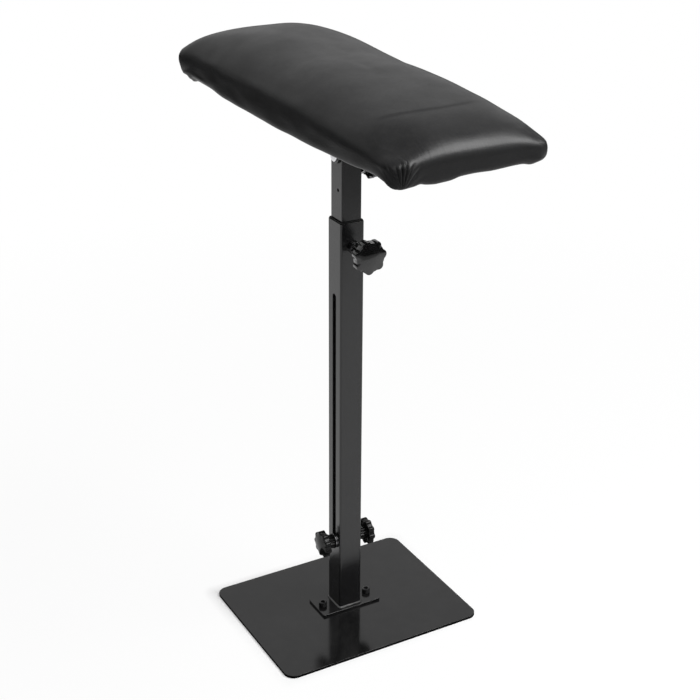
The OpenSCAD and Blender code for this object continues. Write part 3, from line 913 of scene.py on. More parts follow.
@dataclass
class StarKnob:
    """A lobed knob: a fluted hub with a ring at its foot, and a head that is hollow behind its rim."""

    node: str
    body: Body
    facing: Facing
    hub_l: float
    hub_d: float
    radius: float
    turn: float
    lobes: int = 7
    lobe_share: float = 0.25
    valley_share: float = 0.87
    flutes: int = 14
    flute_depth: float = 1.1
    flute_round: float = 0.6
    ring_h: float = 1.5
    ring_lip: float = 0.8
    edge_r: float = 2.0
    dome: float = 1.5
    rim_back: float = 1.5
    wall: float = 2.2
    hollow: float = 5.0
    edge_steps: int = 6
    lobe_segments: int = 28
    rib_floor: float = 1.2
    rib_sharp: float = 6.0

    def hub_outline(self, angle: float) -> float:
        """The fluted hub's outline: raised ribs with round grooves between them."""
        wave = 0.5 + 0.5 * math.cos(self.flutes * angle)
        return self.hub_d / 2 - self.flute_depth * (1.0 - wave ** self.flute_round)

    def floor_height(self, angle: float) -> float:
        """The height of the hollow's floor behind the head, raised to a rib out of each of the hub's ribs."""
        wave = 0.5 + 0.5 * math.cos(self.flutes * angle)
        return self.hub_l + self.hollow - (self.hollow - self.rib_floor) * wave ** self.rib_sharp

    def build(self) -> bpy.types.Object:
        """Models the knob.

        Returns:
            The knob.
        """
        start, length = Placed(self.node, self.facing).span()
        work = Workpiece(self.node + "_moulding", self.body, SLOT_OF[self.node])
        ring_r = self.hub_d / 2 + self.ring_lip

        def star(inset: float) -> Outline:
            """The head's outline, drawn in."""
            lobe_r, valley_r = self.radius * self.lobe_share, self.radius * self.valley_share
            return star_outline(self.radius, self.lobes, lobe_r, valley_r, inset)

        def between(share: float) -> Outline:
            """An outline between the hub's and the hollow's."""
            rim = star(self.wall)
            return lambda angle: self.hub_outline(angle) * (1 - share) + rim(angle) * share

        back = self.hub_l
        levels: list[Level] = [
            (round_outline(ring_r * 0.4), 0.0),
            (round_outline(ring_r - 0.7), 0.0),
            (round_outline(ring_r - 0.2), 0.15),
            (round_outline(ring_r), 0.5),
            (round_outline(ring_r), self.ring_h - 0.4),
            (round_outline(ring_r - 0.4), self.ring_h),
            (self.hub_outline, self.ring_h + 0.25),
            (self.hub_outline, back - 0.5),
            (between(0.04), self.floor_height),
            (between(0.3), self.floor_height),
            (between(0.6), self.floor_height),
            (between(0.9), self.floor_height),
            (between(1.0), lambda angle: self.floor_height(angle) - 0.5),
            (star(self.wall - 0.4), back + 0.5),
            (star(self.wall - 0.7), back),
            (star(0.7), back),
            (star(0.2), back + 0.25),
            (star(0.0), back + 0.8),
            (star(0.0), length - self.rim_back - self.edge_r),
        ]
        for step in range(1, self.edge_steps + 1):
            angle = math.pi / 2 * step / self.edge_steps
            levels.append((star(self.edge_r * (1 - math.cos(angle))),
                           length - self.rim_back - self.edge_r * (1 - math.sin(angle))))
        inner = star(self.edge_r)
        disc = self.radius * self.valley_share - self.edge_r

        def face(share: float) -> Outline:
            """An outline on the head's face, lobed near its rim and round towards its middle."""
            lobed = Ramp(0.75, 1.0).at(share)
            return lambda angle: share * (inner(angle) * lobed + disc * (1 - lobed))

        for share in (0.96, 0.9, 0.82, 0.7, 0.56, 0.42, 0.28, 0.12):
            levels.append((face(share), length - self.rim_back + self.dome * (1 - share * share)))
        turn_up(work.mesh, levels, self.lobes * self.lobe_segments)
        work.place(start, self.facing, self.turn)
        return work.finish([self.node], sharp_deg=50.0)


@dataclass
class ThreadedStud:
    """A stud with a rolled thread: one zigzag profile turned through a full turn as it climbs by a pitch."""

    node: str
    body: Body
    facing: Facing
    pitch: float
    steps: int = 28
    depth_share: float = 0.6

    def build(self) -> bpy.types.Object:
        """Models the stud.

        Returns:
            The stud.
        """
        start, length = Placed(self.node, self.facing).span()
        low, high = (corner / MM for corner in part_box(self.node))
        radius = min(high - low) / 2
        depth = self.depth_share * self.pitch
        work = Workpiece(self.node + "_thread", self.body, SLOT_OF[self.node])
        turns = math.ceil(length / self.pitch) + 3
        shares = ((0.0, 0.0), (0.12, 0.0), (0.5, 1.0), (0.62, 1.0))
        verts = [work.mesh.verts.new((radius - depth * cut, 0.0, (turn + rise - 2) * self.pitch))
                 for turn in range(turns) for rise, cut in shares]
        edges = [work.mesh.edges.new(pair) for pair in zip(verts[:-1], verts[1:])]
        bmesh.ops.spin(work.mesh, geom=verts + edges, cent=(0, 0, 0), axis=(0, 0, 1),
                       dvec=(0, 0, self.pitch / self.steps), angle=2 * math.pi, steps=self.steps)
        bmesh.ops.remove_doubles(work.mesh, verts=work.mesh.verts, dist=0.001)
        for height, way in ((0.0, -1), (length, 1)):
            whole = list(work.mesh.verts) + list(work.mesh.edges) + list(work.mesh.faces)
            bmesh.ops.bisect_plane(work.mesh, geom=whole, plane_co=(0, 0, height), plane_no=(0, 0, way),
                                   clear_outer=True)
        bmesh.ops.holes_fill(work.mesh, edges=[e for e in work.mesh.edges if e.is_boundary], sides=0)
        work.place(start, self.facing)
        return work.finish([self.node], sharp_deg=60.0)


@dataclass
class Eased:
    """A CAD node's own shape with its sharp edges rounded, as a copy that stands for it."""

    node: str
    body: Body
    ease: float = 0.3
    rounds: int = 2
    from_deg: float = 40.0

    def build(self) -> bpy.types.Object:
        """Models the piece.

        Returns:
            The eased copy.
        """
        work = Workpiece(self.node + "_eased", self.body, SLOT_OF[self.node])
        work.mesh.from_mesh(FRAME["nodes"][self.node].data)
        bmesh.ops.scale(work.mesh, vec=(1 / MM, 1 / MM, 1 / MM), verts=work.mesh.verts)
        bmesh.ops.remove_doubles(work.mesh, verts=work.mesh.verts, dist=0.002)
        bmesh.ops.dissolve_limit(work.mesh, angle_limit=math.radians(0.5), verts=work.mesh.verts,
                                 edges=work.mesh.edges)
        sharp = [e for e in work.mesh.edges
                 if len(e.link_faces) == 2 and e.calc_face_angle(0.0) > math.radians(self.from_deg)]
        bmesh.ops.bevel(work.mesh, geom=sharp, offset=self.ease, offset_type="OFFSET", segments=self.rounds,
                        profile=0.5, affect="EDGES", clamp_overlap=True, material=-1)
        piece = work.finish([self.node], sharp_deg=180.0)
        even = piece.modifiers.new("flat_faces", "WEIGHTED_NORMAL")
        even.weight = 100
        return piece


@dataclass
class HeadedScrew:
    """The form of one screw: a shank, and a head with a rounded rim and a hexagon socket."""

    head_d: float
    head_h: float
    shank_d: float
    socket: float
    socket_depth: float
    knurls: int = 0
    knurl_depth: float = 0.22
    dome: float = 0.3
    rim_r: float = 0.6

    def levels(self, length: float) -> list[Level]:
        """The screw's outlines from its tip to the floor of its socket.

        Args:
            length: Its whole length.

        Returns:
            The outlines with their heights.
        """
        head_r, shank_r = self.head_d / 2, self.shank_d / 2
        seat = length - self.head_h
        side = round_outline(head_r)
        if self.knurls:
            side = knurled_outline(head_r, self.knurls, self.knurl_depth)
        socket = sided_outline(self.socket, 6)
        return [
            (round_outline(shank_r * 0.3), 0.0),
            (round_outline(shank_r - 0.6), 0.0),
            (round_outline(shank_r - 0.02), 0.6),
            (round_outline(shank_r - 0.02), seat - 0.01),
            (round_outline(head_r - 0.35), seat),
            (side, seat + 0.35),
            (side, length - self.dome - self.rim_r),
            (round_outline(head_r - 0.1), length - self.dome - self.rim_r + 0.15),
            (round_outline(head_r - self.rim_r * 0.3), length - self.dome - self.rim_r * 0.3),
            (round_outline(head_r - self.rim_r), length - self.dome),
            (round_outline(self.socket * 0.72), length - 0.02),
            (round_outline(self.socket * 0.62), length - 0.02),
            (sided_outline(self.socket + 0.1, 6), length - 0.25),
            (socket, length - 0.45),
            (socket, length - self.socket_depth),
            (round_outline(0.3), length - self.socket_depth - 0.4),
        ]


@dataclass
class ScrewSet:
    """All the screws of one CAD node, each in its own place."""

    node: str
    body: Body
    facing: Facing
    form: HeadedScrew
    first_turn: float = 17.0
    turn_step: float = 41.0
    segments: int = 144

    def build(self) -> bpy.types.Object:
        """Models the screws.

        Returns:
            The screws, as one piece.
        """
        whole = Workpiece(self.node + "_turned", self.body, SLOT_OF[self.node])
        axis = Vector(self.facing.value)
        for number, (low, high) in enumerate(solids_of(self.node)):
            length = abs((high - low).dot(axis))
            single = Workpiece("screw", self.body, "")
            turn_up(single.mesh, self.form.levels(length), self.segments)
            turn = self.first_turn + self.turn_step * number
            single.place((low + high) / 2 - axis * (length / 2), self.facing, turn)
            bmesh.ops.recalc_face_normals(single.mesh, faces=single.mesh.faces)
            data = bpy.data.meshes.new("screw")
            single.mesh.to_mesh(data)
            single.mesh.free()
            whole.mesh.from_mesh(data)
            bpy.data.meshes.remove(data)
        return whole.finish([self.node], sharp_deg=40.0)


@dataclass
class WeldRun:
    """A rippled weld bead round the foot of a tube or nut."""

    name: str
    replaces: tuple[str, ...]
    body: Body
    path: Path
    up: Vector
    length: float
    radius: float
    ripple: float = 1.7
    sunk: float = 0.3
    least_steps: int = 24
    ripple_steps: int = 5
    section_deg: tuple[float, ...] = (-12, 0, 18, 36, 54, 72, 90, 102)
    ripple_lag: float = 0.35
    ripple_swell: float = 0.14
    wander: float = 0.1
    wander_rate: float = 23.0
    bulge: float = 0.12

    def build(self) -> bpy.types.Object:
        """Models the bead.

        Returns:
            The bead.
        """
        work = Workpiece(self.name, self.body, "weld_bead")
        steps = max(self.least_steps, round(self.length / self.ripple * self.ripple_steps))
        section = [math.radians(a) for a in self.section_deg]
        lag = self.ripple_lag * self.ripple / self.length
        rings: list[Ring] = []
        for step in range(steps):
            share = step / steps
            foot, out = self.path(share)
            phase = (share * self.length / self.ripple) % 1.0
            uneven = noise.noise(Vector((share * self.wander_rate, 1.7, 0.3)))
            size = self.radius * (1.0 + self.ripple_swell * (phase - 0.5) + self.wander * uneven)
            ring = [foot - (out + self.up) * self.sunk]
            for angle in section:
                bulge = 1.0 + self.bulge * math.sin(2 * max(0.0, min(angle, math.pi / 2)))
                foot_here, out_here = self.path((share - lag * math.sin(2 * max(0.0, angle))) % 1.0)
                way = out_here * math.cos(angle) + self.up * math.sin(angle)
                ring.append(foot_here + way * size * bulge)
            rings.append(ring)
        loft(work.mesh, [*rings, rings[0]], caps=False)
        return work.finish(self.replaces, sharp_deg=70.0)


def square_path(half: float, corner: float, height: float) -> tuple[Path, float]:
    """A path round an upright square tube.

    Args:
        half: Half of the tube's width.
        corner: The tube's corner radius.
        height: The path's height.

    Returns:
        The path, which gives a point and the way outwards for a share of a round, and its length.
    """
    side = 2 * (half - corner)
    turn = math.pi / 2 * corner
    quarter = side + turn

    def path(share: float) -> tuple[Vector, Vector]:
        """The place at a share of the way round.

        Args:
            share: The share.

        Returns:
            The point and the way outwards.
        """
        place = (share % 1.0) * 4 * quarter
        number, rest = divmod(place, quarter)
        base = Matrix.Rotation(math.radians(90.0 * number), 3, "Z")
        if rest < side:
            point, out = Vector((half, rest - side / 2, 0)), Vector((1, 0, 0))
        else:
            angle = (rest - side) / max(corner, 1e-6)
            out = Vector((math.cos(angle), math.sin(angle), 0))
            point = Vector((half - corner, side / 2, 0)) + out * corner
        return base @ point + Vector((0, 0, height)), base @ out
    return path, 4 * quarter


@dataclass
class PivotBolt:
    """The tilt axis: a domed head, a square neck, a plain shank and a threaded tail."""

    node: str = "pivot_bolt"
    body: Body = Body.PAD
    head_rim: float = 1.4
    dome: float = 1.4
    neck: float = 6.0
    neck_l: float = 2.2
    neck_round: float = 1.3
    tail: float = 6.5
    pitch: float = 1.0
    thread_depth: float = 0.5
    dome_steps: int = 8
    segments: int = 64

    def build(self) -> bpy.types.Object:
        """Models the bolt.

        Returns:
            The bolt.
        """
        start, length = Placed(self.node, Facing.LEFT).span()
        low, high = (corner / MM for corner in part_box(self.node))
        head_r = (high.z - low.z) / 2
        shank_r = self.neck / 2
        seat = length - self.head_rim - self.dome
        work = Workpiece("pivot_bolt_turned", self.body, SLOT_OF[self.node])
        levels: list[Level] = [(round_outline(0.6), 0.0), (round_outline(shank_r - 0.7), 0.0)]
        place = 0.5
        while place < self.tail:
            levels.append((round_outline(shank_r - 0.02), place))
            levels.append((round_outline(shank_r - self.thread_depth), place + self.pitch / 2))
            place += self.pitch
        square = sided_outline(self.neck, 4, shank_r * self.neck_round)
        levels += [
            (round_outline(shank_r - 0.02), place),
            (round_outline(shank_r - 0.02), seat - self.neck_l - 0.3),
            (square, seat - self.neck_l),
            (square, seat - 0.01),
            (round_outline(head_r - 0.3), seat),
            (round_outline(head_r), seat + 0.3),
            (round_outline(head_r), seat + self.head_rim - 0.3),
        ]
        for step in range(self.dome_steps):
            angle = math.pi / 2 * step / self.dome_steps
            levels.append((round_outline((head_r - 0.12) * math.cos(angle) + 0.02),
                           length - self.dome * (1 - math.sin(angle))))
        turn_up(work.mesh, levels, self.segments)
        work.place(start, Facing.LEFT)
        return work.finish([self.node], sharp_deg=50.0)


@dataclass(frozen=True)
class PadForm:
    """The pad's form: level underneath, crowned on top, higher at the rear and fallen at the front."""

    low: Vector
    high: Vector
    height: float = 60.0
    corner: float = 15.0
    edge: float = 3.0
    side_h: float = 14.0
    crown_run: float = 120.0
    rear_rise: float = 5.0
    front_fall: float = 15.0
    side_pull: float = 1.5
    crown_power: float = 0.77
    corner_growth: float = 38.0
    corner_share: float = 0.98
    end_steps: int = 10
    corner_steps: int = 10
    side_steps: int = 30
    board_inset: float = 8.0
    board_corner: float = 22.0
    board_clear: float = 5.0
    edge_rings: int = 4
    crown_rings: int = 26
    crown_end_deg: float = 89.6
    least_edge: float = 0.5

    @property
    def half_w(self) -> float:
        """Half of the pad's width."""
        return (self.high.x - self.low.x) / 2

    @property
    def half_l(self) -> float:
        """Half of the pad's length."""
        return (self.high.y - self.low.y) / 2

    def lift(self, y: float) -> float:
        """The height that the crown gains at a place along the pad."""
        share = y / self.half_l
        return self.rear_rise * smooth_step(2 * share) - self.front_fall * smooth_step(-share)

    def quarter(self, a: float, b: float, r: float) -> list[tuple[float, float]]:
        """A quarter of a rounded rectangle, from the middle of its end to its side.

        Args:
            a: Half the rectangle's width.
            b: Half its length.
            r: Its corner radius.

        Returns:
            The points.
        """
        points = [((a - r) * i / self.end_steps, b) for i in range(self.end_steps)]
        for i in range(self.corner_steps + 1):
            angle = math.pi / 2 * i / self.corner_steps
            points.append((a - r + r * math.sin(angle), b - r + r * math.cos(angle)))
        points += [(a, (b - r) * (1 - i / self.side_steps)) for i in range(1, self.side_steps)]
        return points

    def outline(self, a: float, b: float, r: float) -> list[tuple[float, float]]:
        """A whole rounded rectangle.

        Args:
            a: Half its width.
            b: Half its length.
            r: Its corner radius.

        Returns:
            The points.
        """
        quarter = self.quarter(a, b, r)
        right = [*quarter, (a, 0.0), *((x, -y) for x, y in reversed(quarter))]
        return [*right, *((-x, y) for x, y in reversed(right[1:-1]))]

    def ring(self, inset_x: float, inset_y: float, rise: float, share: float, skin: float) -> Ring:
        """One ring of the form.

        Args:
            inset_x: Its inset from the sides.
            inset_y: Its inset from the ends.
            rise: Its height over the pad's underside.
            share: Its share of the crown.
            skin: How far the whole form lies inside the leather's face.

        Returns:
            The ring's points.
        """
        a = self.half_w - skin - inset_x
        b = self.half_l - skin - inset_y
        r = min(max(self.corner, self.edge + skin) - skin + self.corner_growth * share, a * self.corner_share)
        share_up = max(0.0, rise - self.side_h) / (self.height - self.side_h)
        return [Vector((x * (1 - self.side_pull / self.half_w * (1 - (y / self.half_l) ** 2)), y,
                        self.low.z + rise + share_up * self.lift(y))) for x, y in self.outline(a, b, r)]

    def rings(self, skin: float, edge_steps: int, crown_steps: int) -> list[Ring]:
        """The form's rings from its lower edge to its crown.

        Args:
            skin: How far the form lies inside the leather's face.
            edge_steps: Rings round the lower edge.
            crown_steps: Rings up the crown.

        Returns:
            The rings.
        """
        rings = []
        r = max(self.edge - skin, self.least_edge)
        for i in range(edge_steps + 1):
            angle = math.pi / 2 * (1 - i / edge_steps)
            inset = r * (1 - math.cos(angle))
            rings.append(self.ring(inset, inset, skin + r * (1 - math.sin(angle)), 0.0, skin))
        for i in range(crown_steps + 1):
            angle = math.radians(self.crown_end_deg) * i / crown_steps
            share = 1 - math.cos(angle) ** self.crown_power
            rise = self.side_h + (self.height - skin - self.side_h) * math.sin(angle) ** self.crown_power
            inset_x, inset_y = (self.half_w - skin) * share, (self.crown_run - skin) * share
            rings.append(self.ring(inset_x, inset_y, rise, share, skin))
        return rings

    def past_board(self, point: Vector) -> float:
        """How far a point lies outside the board's outline.

        Args:
            point: The point, in millimetres.

        Returns:
            The distance, negative inside the outline.
        """
        r = self.board_corner
        x = abs(point.x) - self.half_w + self.board_inset + r
        y = abs(point.y) - self.half_l + self.board_inset + r
        return math.hypot(max(x, 0.0), max(y, 0.0)) + min(max(x, y), 0.0) - r

    @cached_property
    def settling(self) -> tuple[Move, ...]:
        """How the stuffed cover has settled off its even form at its corners and along its sides.

        Returns:
            The moves.
        """
        side, end = self.half_w, self.half_l
        left, right_top = Ramp(30 - side, 6 - side), Ramp(15, 65)
        wall, crown = Ramp(26, 4), Ramp(12, 34)
        side_belly = Move((-1.7, 0, -2.4), left, Bell(10, 105), wall)
        side_lifts = (
            Move((0, 0, 3.4), left, Bell(-205, 28), wall, off_board=True),
            Move((0, 0, -1.1), left, Bell(-82, 28), wall),
            Move((0, 0, 2.8), Ramp(70, 88), Ramp(-215, -235), wall, off_board=True),
            Move((0, 0, 4.4), left, Ramp(120, 190), Ramp(15, 0), off_board=True),
        )
        corners = (
            Move((-4.7, 2.65, 0), Bell(4 - side, 24), Bell(end - 4, 24), Bell(27, 17)),
            Move((1.39, -0.78, 0), Bell(side - 4, 22), Bell(4 - end, 22), Bell(6, 12)),
            Move((-1.3, 0.74, 0), Bell(side - 4, 22), Bell(4 - end, 22), Bell(26, 9)),
        )
        near_end = (
            Move((0, 0, 2.4), right_top, Bell(-105, 52), crown),
            Move((0, 0, -6.4), Bell(88, 30), Bell(-238, 34), crown),
            Move((0, 0, -0.42), Bell(-78, 29), Bell(-230, 32), Climb(12)),
        )
        right_top_wave = tuple(Move((0, 0, rise), right_top, Bell(middle, spread), crown)
                               for middle, spread, rise in ((90, 55, 1.1), (-12, 20, -1.0), (-150, 22, 1.1)))
        rear_fall = tuple(Move((0, 0, -fall), Bell(middle, 27), Ramp(130, 190), Ramp(6, 20))
                          for middle, fall in ((-62, 1.0), (60, 1.8)))
        return (side_belly, *side_lifts, *corners, *near_end, *right_top_wave, *rear_fall)

    @cached_property
    def hem(self) -> tuple[Move, ...]:
        """How the leather's lower edge hangs: a tuck near each corner, and a wavy hem along the near end.

        Returns:
            The moves.
        """
        places = ((-76, -238, 6, 1.0), (67, -237, 5.5, 2.2), (-87, 214, 6, 3.6), (76, 238, 8, 2.6))
        tucks = tuple(Move((0, 0, -deep), Bell(x, spread), Bell(y, spread), Ramp(5, 0))
                      for x, y, spread, deep in places)
        near, wall = Ramp(14 - self.half_l, 4 - self.half_l), Ramp(22, 0)
        sag = (Move((0, 0, -2.6), Ramp(-12, -30), near, wall), Move((0, 0, -1.6), Ramp(45, 20), near, wall))
        waves = tuple(Move((0, 0, rise), Bell(middle, spread), near, wall) for middle, spread, rise in
                      ((-57, 5, 1.4), (-40, 8, -0.8), (-20, 7, -0.7), (6, 12, 0.5), (40, 9, -0.5)))
        return (*tucks, *sag, *waves)

    def moved(self, point: Vector, up: float, moves: Iterable[Move]) -> Vector:
        """What a list of moves does to a point.

        Args:
            point: The point, in millimetres.
            up: Its height over the pad's underside.
            moves: The moves.

        Returns:
            The whole move.
        """
        spare = smooth_step(self.past_board(point) / self.board_clear)
        whole = Vector((0.0, 0.0, 0.0))
        for move in moves:
            share = move.share(point, up) * (spare if move.off_board else 1.0)
            if share:
                whole += Vector(move.by) * share
        return whole


@dataclass(frozen=True)
class Gather:
    """How the leather is gathered at one corner: folds that run together at a root on the lower edge."""

    side: int
    end: int
    swell: float
    droop: float
    root_along: float = 0.0
    root_up: float = 2.0
    pleated: bool = False
    run: float = 90.0
    reach: float = 60.0
    hem: float = 0.3
    fold_rate: float = 4.6
    fold_phase: float = 0.8
    fold_drift: float = 0.35
    fold_drift_rate: float = 2.3
    fold_round: float = 0.55
    fold_mean: float = 0.6
    fold_root: float = 9.0
    fold_fade: Ramp = Ramp(52, 10)
    pleat_rate: float = 10.4
    pleat_phase: float = 0.5
    pleat_drift: float = 0.5
    pleat_drift_rate: float = 3.1
    pleat_round: float = 0.6
    pleat_h: float = 3.6
    pleat_sink: float = 2.1
    pleat_reach: float = 18.0
    pleat_ragged: float = 8.0
    ragged_rate: float = 4.0
    pleat_fade: float = 13.0
    pleat_open: float = 14.0
    pleat_root: float = 3.0
    pleat_up: Ramp = Ramp(-3, 2)
    fan: Bell = Bell(0.1, 0.7)
    droop_along: Bell = Bell(3, 14)
    droop_up: Ramp = Ramp(26, 0)

    def along(self, form: PadForm, point: Vector) -> float:
        """The way along the pad's outline from the corner's middle to a point.

        Args:
            form: The pad's form.
            point: The point, in millimetres.

        Returns:
            The way, positive towards the end's middle.
        """
        r = form.corner
        x, y = point.x * self.side - form.half_w + r, point.y * self.end - form.half_l + r
        if x > 0 and y > 0:
            return r * (math.atan2(y, x) - math.pi / 4)
        if x <= 0 < y or x - y < 0:
            return r * math.pi / 4 - x
        return -(r * math.pi / 4 - y)

    def pleats(self, angle: float, reach: float, up: float) -> float:
        """How far the sharp pleats over the root stand out of the leather.

        Args:
            angle: The way from the root, from straight up towards the pad's end.
            reach: The distance from the root.
            up: The height over the pad's underside.

        Returns:
            The height, negative between two pleats.
        """
        uneven = noise.noise(Vector((angle * self.ragged_rate, 0.5, 7.0)))
        tips = self.pleat_reach - self.pleat_ragged * uneven
        share = self.fan.at(angle) * min(1.0, reach / self.pleat_open) * smooth_step(reach / self.pleat_root)
        share *= Ramp(tips + self.pleat_fade, tips).at(reach) * self.pleat_up.at(up)
        drift = self.pleat_drift * math.sin(self.pleat_drift_rate * angle)
        fold = abs(math.sin(self.pleat_rate * angle + self.pleat_phase + drift)) ** self.pleat_round
        return share * (self.pleat_h * fold - self.pleat_sink)

    def move(self, form: PadForm, point: Vector, normal: Vector, up: float) -> Vector:
        """What the gather does to a point.

        Args:
            form: The pad's form.
            point: The point, in millimetres.
            normal: The leather's normal there.
            up: The point's height over the pad's underside.

        Returns:
            The move.
        """
        none = Vector((0.0, 0.0, 0.0))
        if point.x * self.side < 0 or point.y * self.end < form.half_l - self.run:
            return none
        along = self.along(form, point)
        off, rise = along - self.root_along, up - self.root_up
        reach = math.hypot(off, rise)
        if reach > self.reach or up < self.hem:
            return none
        angle = math.atan2(off, rise)
        drift = self.fold_drift * math.sin(self.fold_drift_rate * angle)
        wave = abs(math.sin(self.fold_rate * angle + self.fold_phase * self.side + drift)) ** self.fold_round
        swollen = smooth_step(reach / self.fold_root) * self.fold_fade.at(reach)
        out = self.swell * (wave - self.fold_mean) * swollen
        if self.pleated:
            out += self.pleats(angle, reach, up)
        down = self.droop * self.droop_along.at(along) * self.droop_up.at(up)
        return normal * out - Vector((0.0, 0.0, down))


GATHERS = (
    Gather(-1, -1, swell=0.4, droop=0.96, root_along=11.0, root_up=-1.5, pleated=True),
    Gather(1, -1, swell=0.9, droop=1.44),
    Gather(-1, 1, swell=0.825, droop=1.32),
    Gather(1, 1, swell=0.75, droop=1.2),
)


@dataclass(frozen=True)
class Crease:
    """A faint pressed line across the pad's top near its front end."""

    y: float = -175.5
    middle_x: float = -5.0
    bow: float = 0.0018
    depth: float = 0.24
    sharp: float = 1.3
    spread: float = 9.0
    from_up: float = 25.0
    left_end: Ramp = Ramp(-70, -45)
    right_end: Ramp = Ramp(70, 35)

    def height(self, point: Vector, up: float) -> float:
        """How far the crease lifts the leather.

        Args:
            point: The point, in millimetres.
            up: Its height over the pad's underside.

        Returns:
            The lift, negative where it sinks the leather.
        """
        if up <= self.from_up:
            return 0.0
        off = point.y - self.y - self.bow * (point.x - self.middle_x) ** 2
        fade = self.left_end.at(point.x) * self.right_end.at(point.x)
        return self.depth * fade * math.tanh(off / self.sharp) * Bell(0, self.spread).at(off)


@dataclass
class LeatherCover:
    """The pad's leather: blown up by cloth simulation, then gathered, pleated and folded under."""

    form: PadForm
    start_inset: float = 1.0
    sim_voxel: float = 5.0
    fine_voxel: float = 2.4
    frames: int = 20
    cap: float = 2.0
    share_kept: float = 0.5
    fullness: float = 0.6
    fold: float = 38.0
    thickness: float = 1.2
    slack: float = 0.45
    slack_rates: tuple[float, float, float] = (0.022, 0.011, 0.022)
    side_wave: float = 0.5
    side_wave_rates: tuple[float, float] = (0.03, 0.09)
    side_wave_end: float = 60.0
    side_wave_across: Ramp = Ramp(70, 85)
    smoothings: int = 2
    crown_smoothings: int = 24
    crown_from: float = 34.0
    finer_tip: tuple[float, float, float] = (6.0, 6.0, 14.0)
    finer_within: tuple[float, float] = (46.0, 24.0)
    margin_h: float = 3.0
    pinned: Ramp = Ramp(14, 4)
    averaged: Ramp = Ramp(22, 36)
    flat_near: float = 0.5
    flat_wide: float = 300.0
    count_near: int = 12
    count_wide: int = 120
    crease: Crease = Crease()
    gathers: tuple[Gather, ...] = GATHERS

    def even_form(self, name: str, inset: float, voxel: float) -> bpy.types.Object:
        """The closed form, remeshed evenly.

        Args:
            name: The object's name.
            inset: How far it lies inside the finished leather.
            voxel: The remesh's cell.

        Returns:
            A loose object in metres.
        """
        work = bmesh.new()
        loft(work, self.form.rings(inset, self.form.edge_rings, self.form.crown_rings))
        bmesh.ops.recalc_face_normals(work, faces=work.faces)
        bmesh.ops.scale(work, vec=(MM, MM, MM), verts=work.verts)
        data = bpy.data.meshes.new(name)
        work.to_mesh(data)
        work.free()
        blank = bpy.data.objects.new(name, data)
        bpy.context.scene.collection.objects.link(blank)
        remesh = blank.modifiers.new("even", "REMESH")
        remesh.mode = "VOXEL"
        remesh.voxel_size = voxel * MM
        remesh.use_smooth_shade = True
        return self.baked(blank, name + "_even")

    @staticmethod
    def baked(source: bpy.types.Object, name: str) -> bpy.types.Object:
        """A new object with its source's modifiers applied, and the source removed.

        Args:
            source: The object with modifiers.
            name: The new object's name.

        Returns:
            The new object.
        """
        graph = bpy.context.evaluated_depsgraph_get()
        data = bpy.data.meshes.new_from_object(source.evaluated_get(graph))
        made = bpy.data.objects.new(name, data)
        bpy.context.scene.collection.objects.link(made)
        bpy.data.objects.remove(source)
        return made

    def swelling(self) -> Callable[[Vector], float]:
        """Blows an even blank up as cloth under pressure, pinned underneath, with its movement capped.

        Returns:
            How far the leather stands off its form near a point, in millimetres.
        """
        blank = self.even_form("cover_blank", self.start_inset, self.sim_voxel)
        rest = [(v.co.copy(), v.normal.copy()) for v in blank.data.vertices]
        pins = blank.vertex_groups.new(name="pins")
        for vert in blank.data.vertices:
            pins.add([vert.index], self.pinned.at(vert.co.z / MM - self.form.low.z), "REPLACE")
        cloth = blank.modifiers.new("blow", "CLOTH")
        settings = cloth.settings
        settings.quality = 6
        settings.mass = 0.35
        settings.tension_stiffness = settings.compression_stiffness = 25.0
        settings.shear_stiffness = 8.0
        settings.bending_stiffness = 4.0
        settings.air_damping = 4.0
        settings.use_pressure = True
        settings.uniform_pressure_force = 4.0
        settings.effector_weights.gravity = 0.0
        settings.vertex_group_mass = "pins"
        cloth.collision_settings.use_collision = False
        scene = bpy.context.scene
        for frame in range(1, self.frames + 1):
            scene.frame_set(frame)
        blown = self.baked(blank, "cover_blown")
        scene.frame_set(1)
        moves = [(v.co - start).dot(normal) / MM for v, (start, normal) in zip(blown.data.vertices, rest)]
        LOG.info("cover: the cloth swelled by %.1f to %.1f mm before the cap", min(moves), max(moves))
        bpy.data.objects.remove(blown)
        tree = KDTree(len(rest))
        for number, (start, normal) in enumerate(rest):
            tree.insert(start / MM, number)
        tree.balance()

        def stand_off(point: Vector) -> float:
            """How far the leather stands off its form: the mean of the nearest moves, by nearness.

            Args:
                point: The point, in millimetres.

            Returns:
                The distance.
            """
            wide = self.averaged.at(point.z - self.form.low.z)
            flat = self.flat_near + self.flat_wide * wide
            count = self.count_wide if wide > 0 else self.count_near
            near = [(min(max(moves[number], 0.0), self.cap), 1.0 / (flat + away * away))
                    for _, number, away in tree.find_n(point, count)]
            mean = sum(move * weight for move, weight in near) / sum(weight for _, weight in near)
            return (mean - self.start_inset) * self.share_kept + self.fullness
        return stand_off

    def sculpted(self, point: Vector, normal: Vector) -> Vector:
        """Where a point of the cover goes when the leather is gathered, pleated and creased.

        Args:
            point: The point, in millimetres.
            normal: Its normal.

        Returns:
            The moved point.
        """
        form = self.form
        up = point.z - form.low.z
        slack = noise.noise(Vector(self.slack_rates) * point)
        along_rate, up_rate = self.side_wave_rates
        side_wave = noise.noise(Vector((3.1, point.y * along_rate, up * up_rate)))
        inwards = Ramp(form.half_l, form.half_l - self.side_wave_end)
        side_share = inwards.at(abs(point.y)) * self.side_wave_across.at(abs(point.x))
        out = self.slack * slack + self.side_wave * side_wave * side_share + self.crease.height(point, up)
        moved = point + normal * out
        for gather in self.gathers:
            moved += gather.move(form, point, normal, up)
        return moved + form.moved(point, up, form.hem + form.settling)

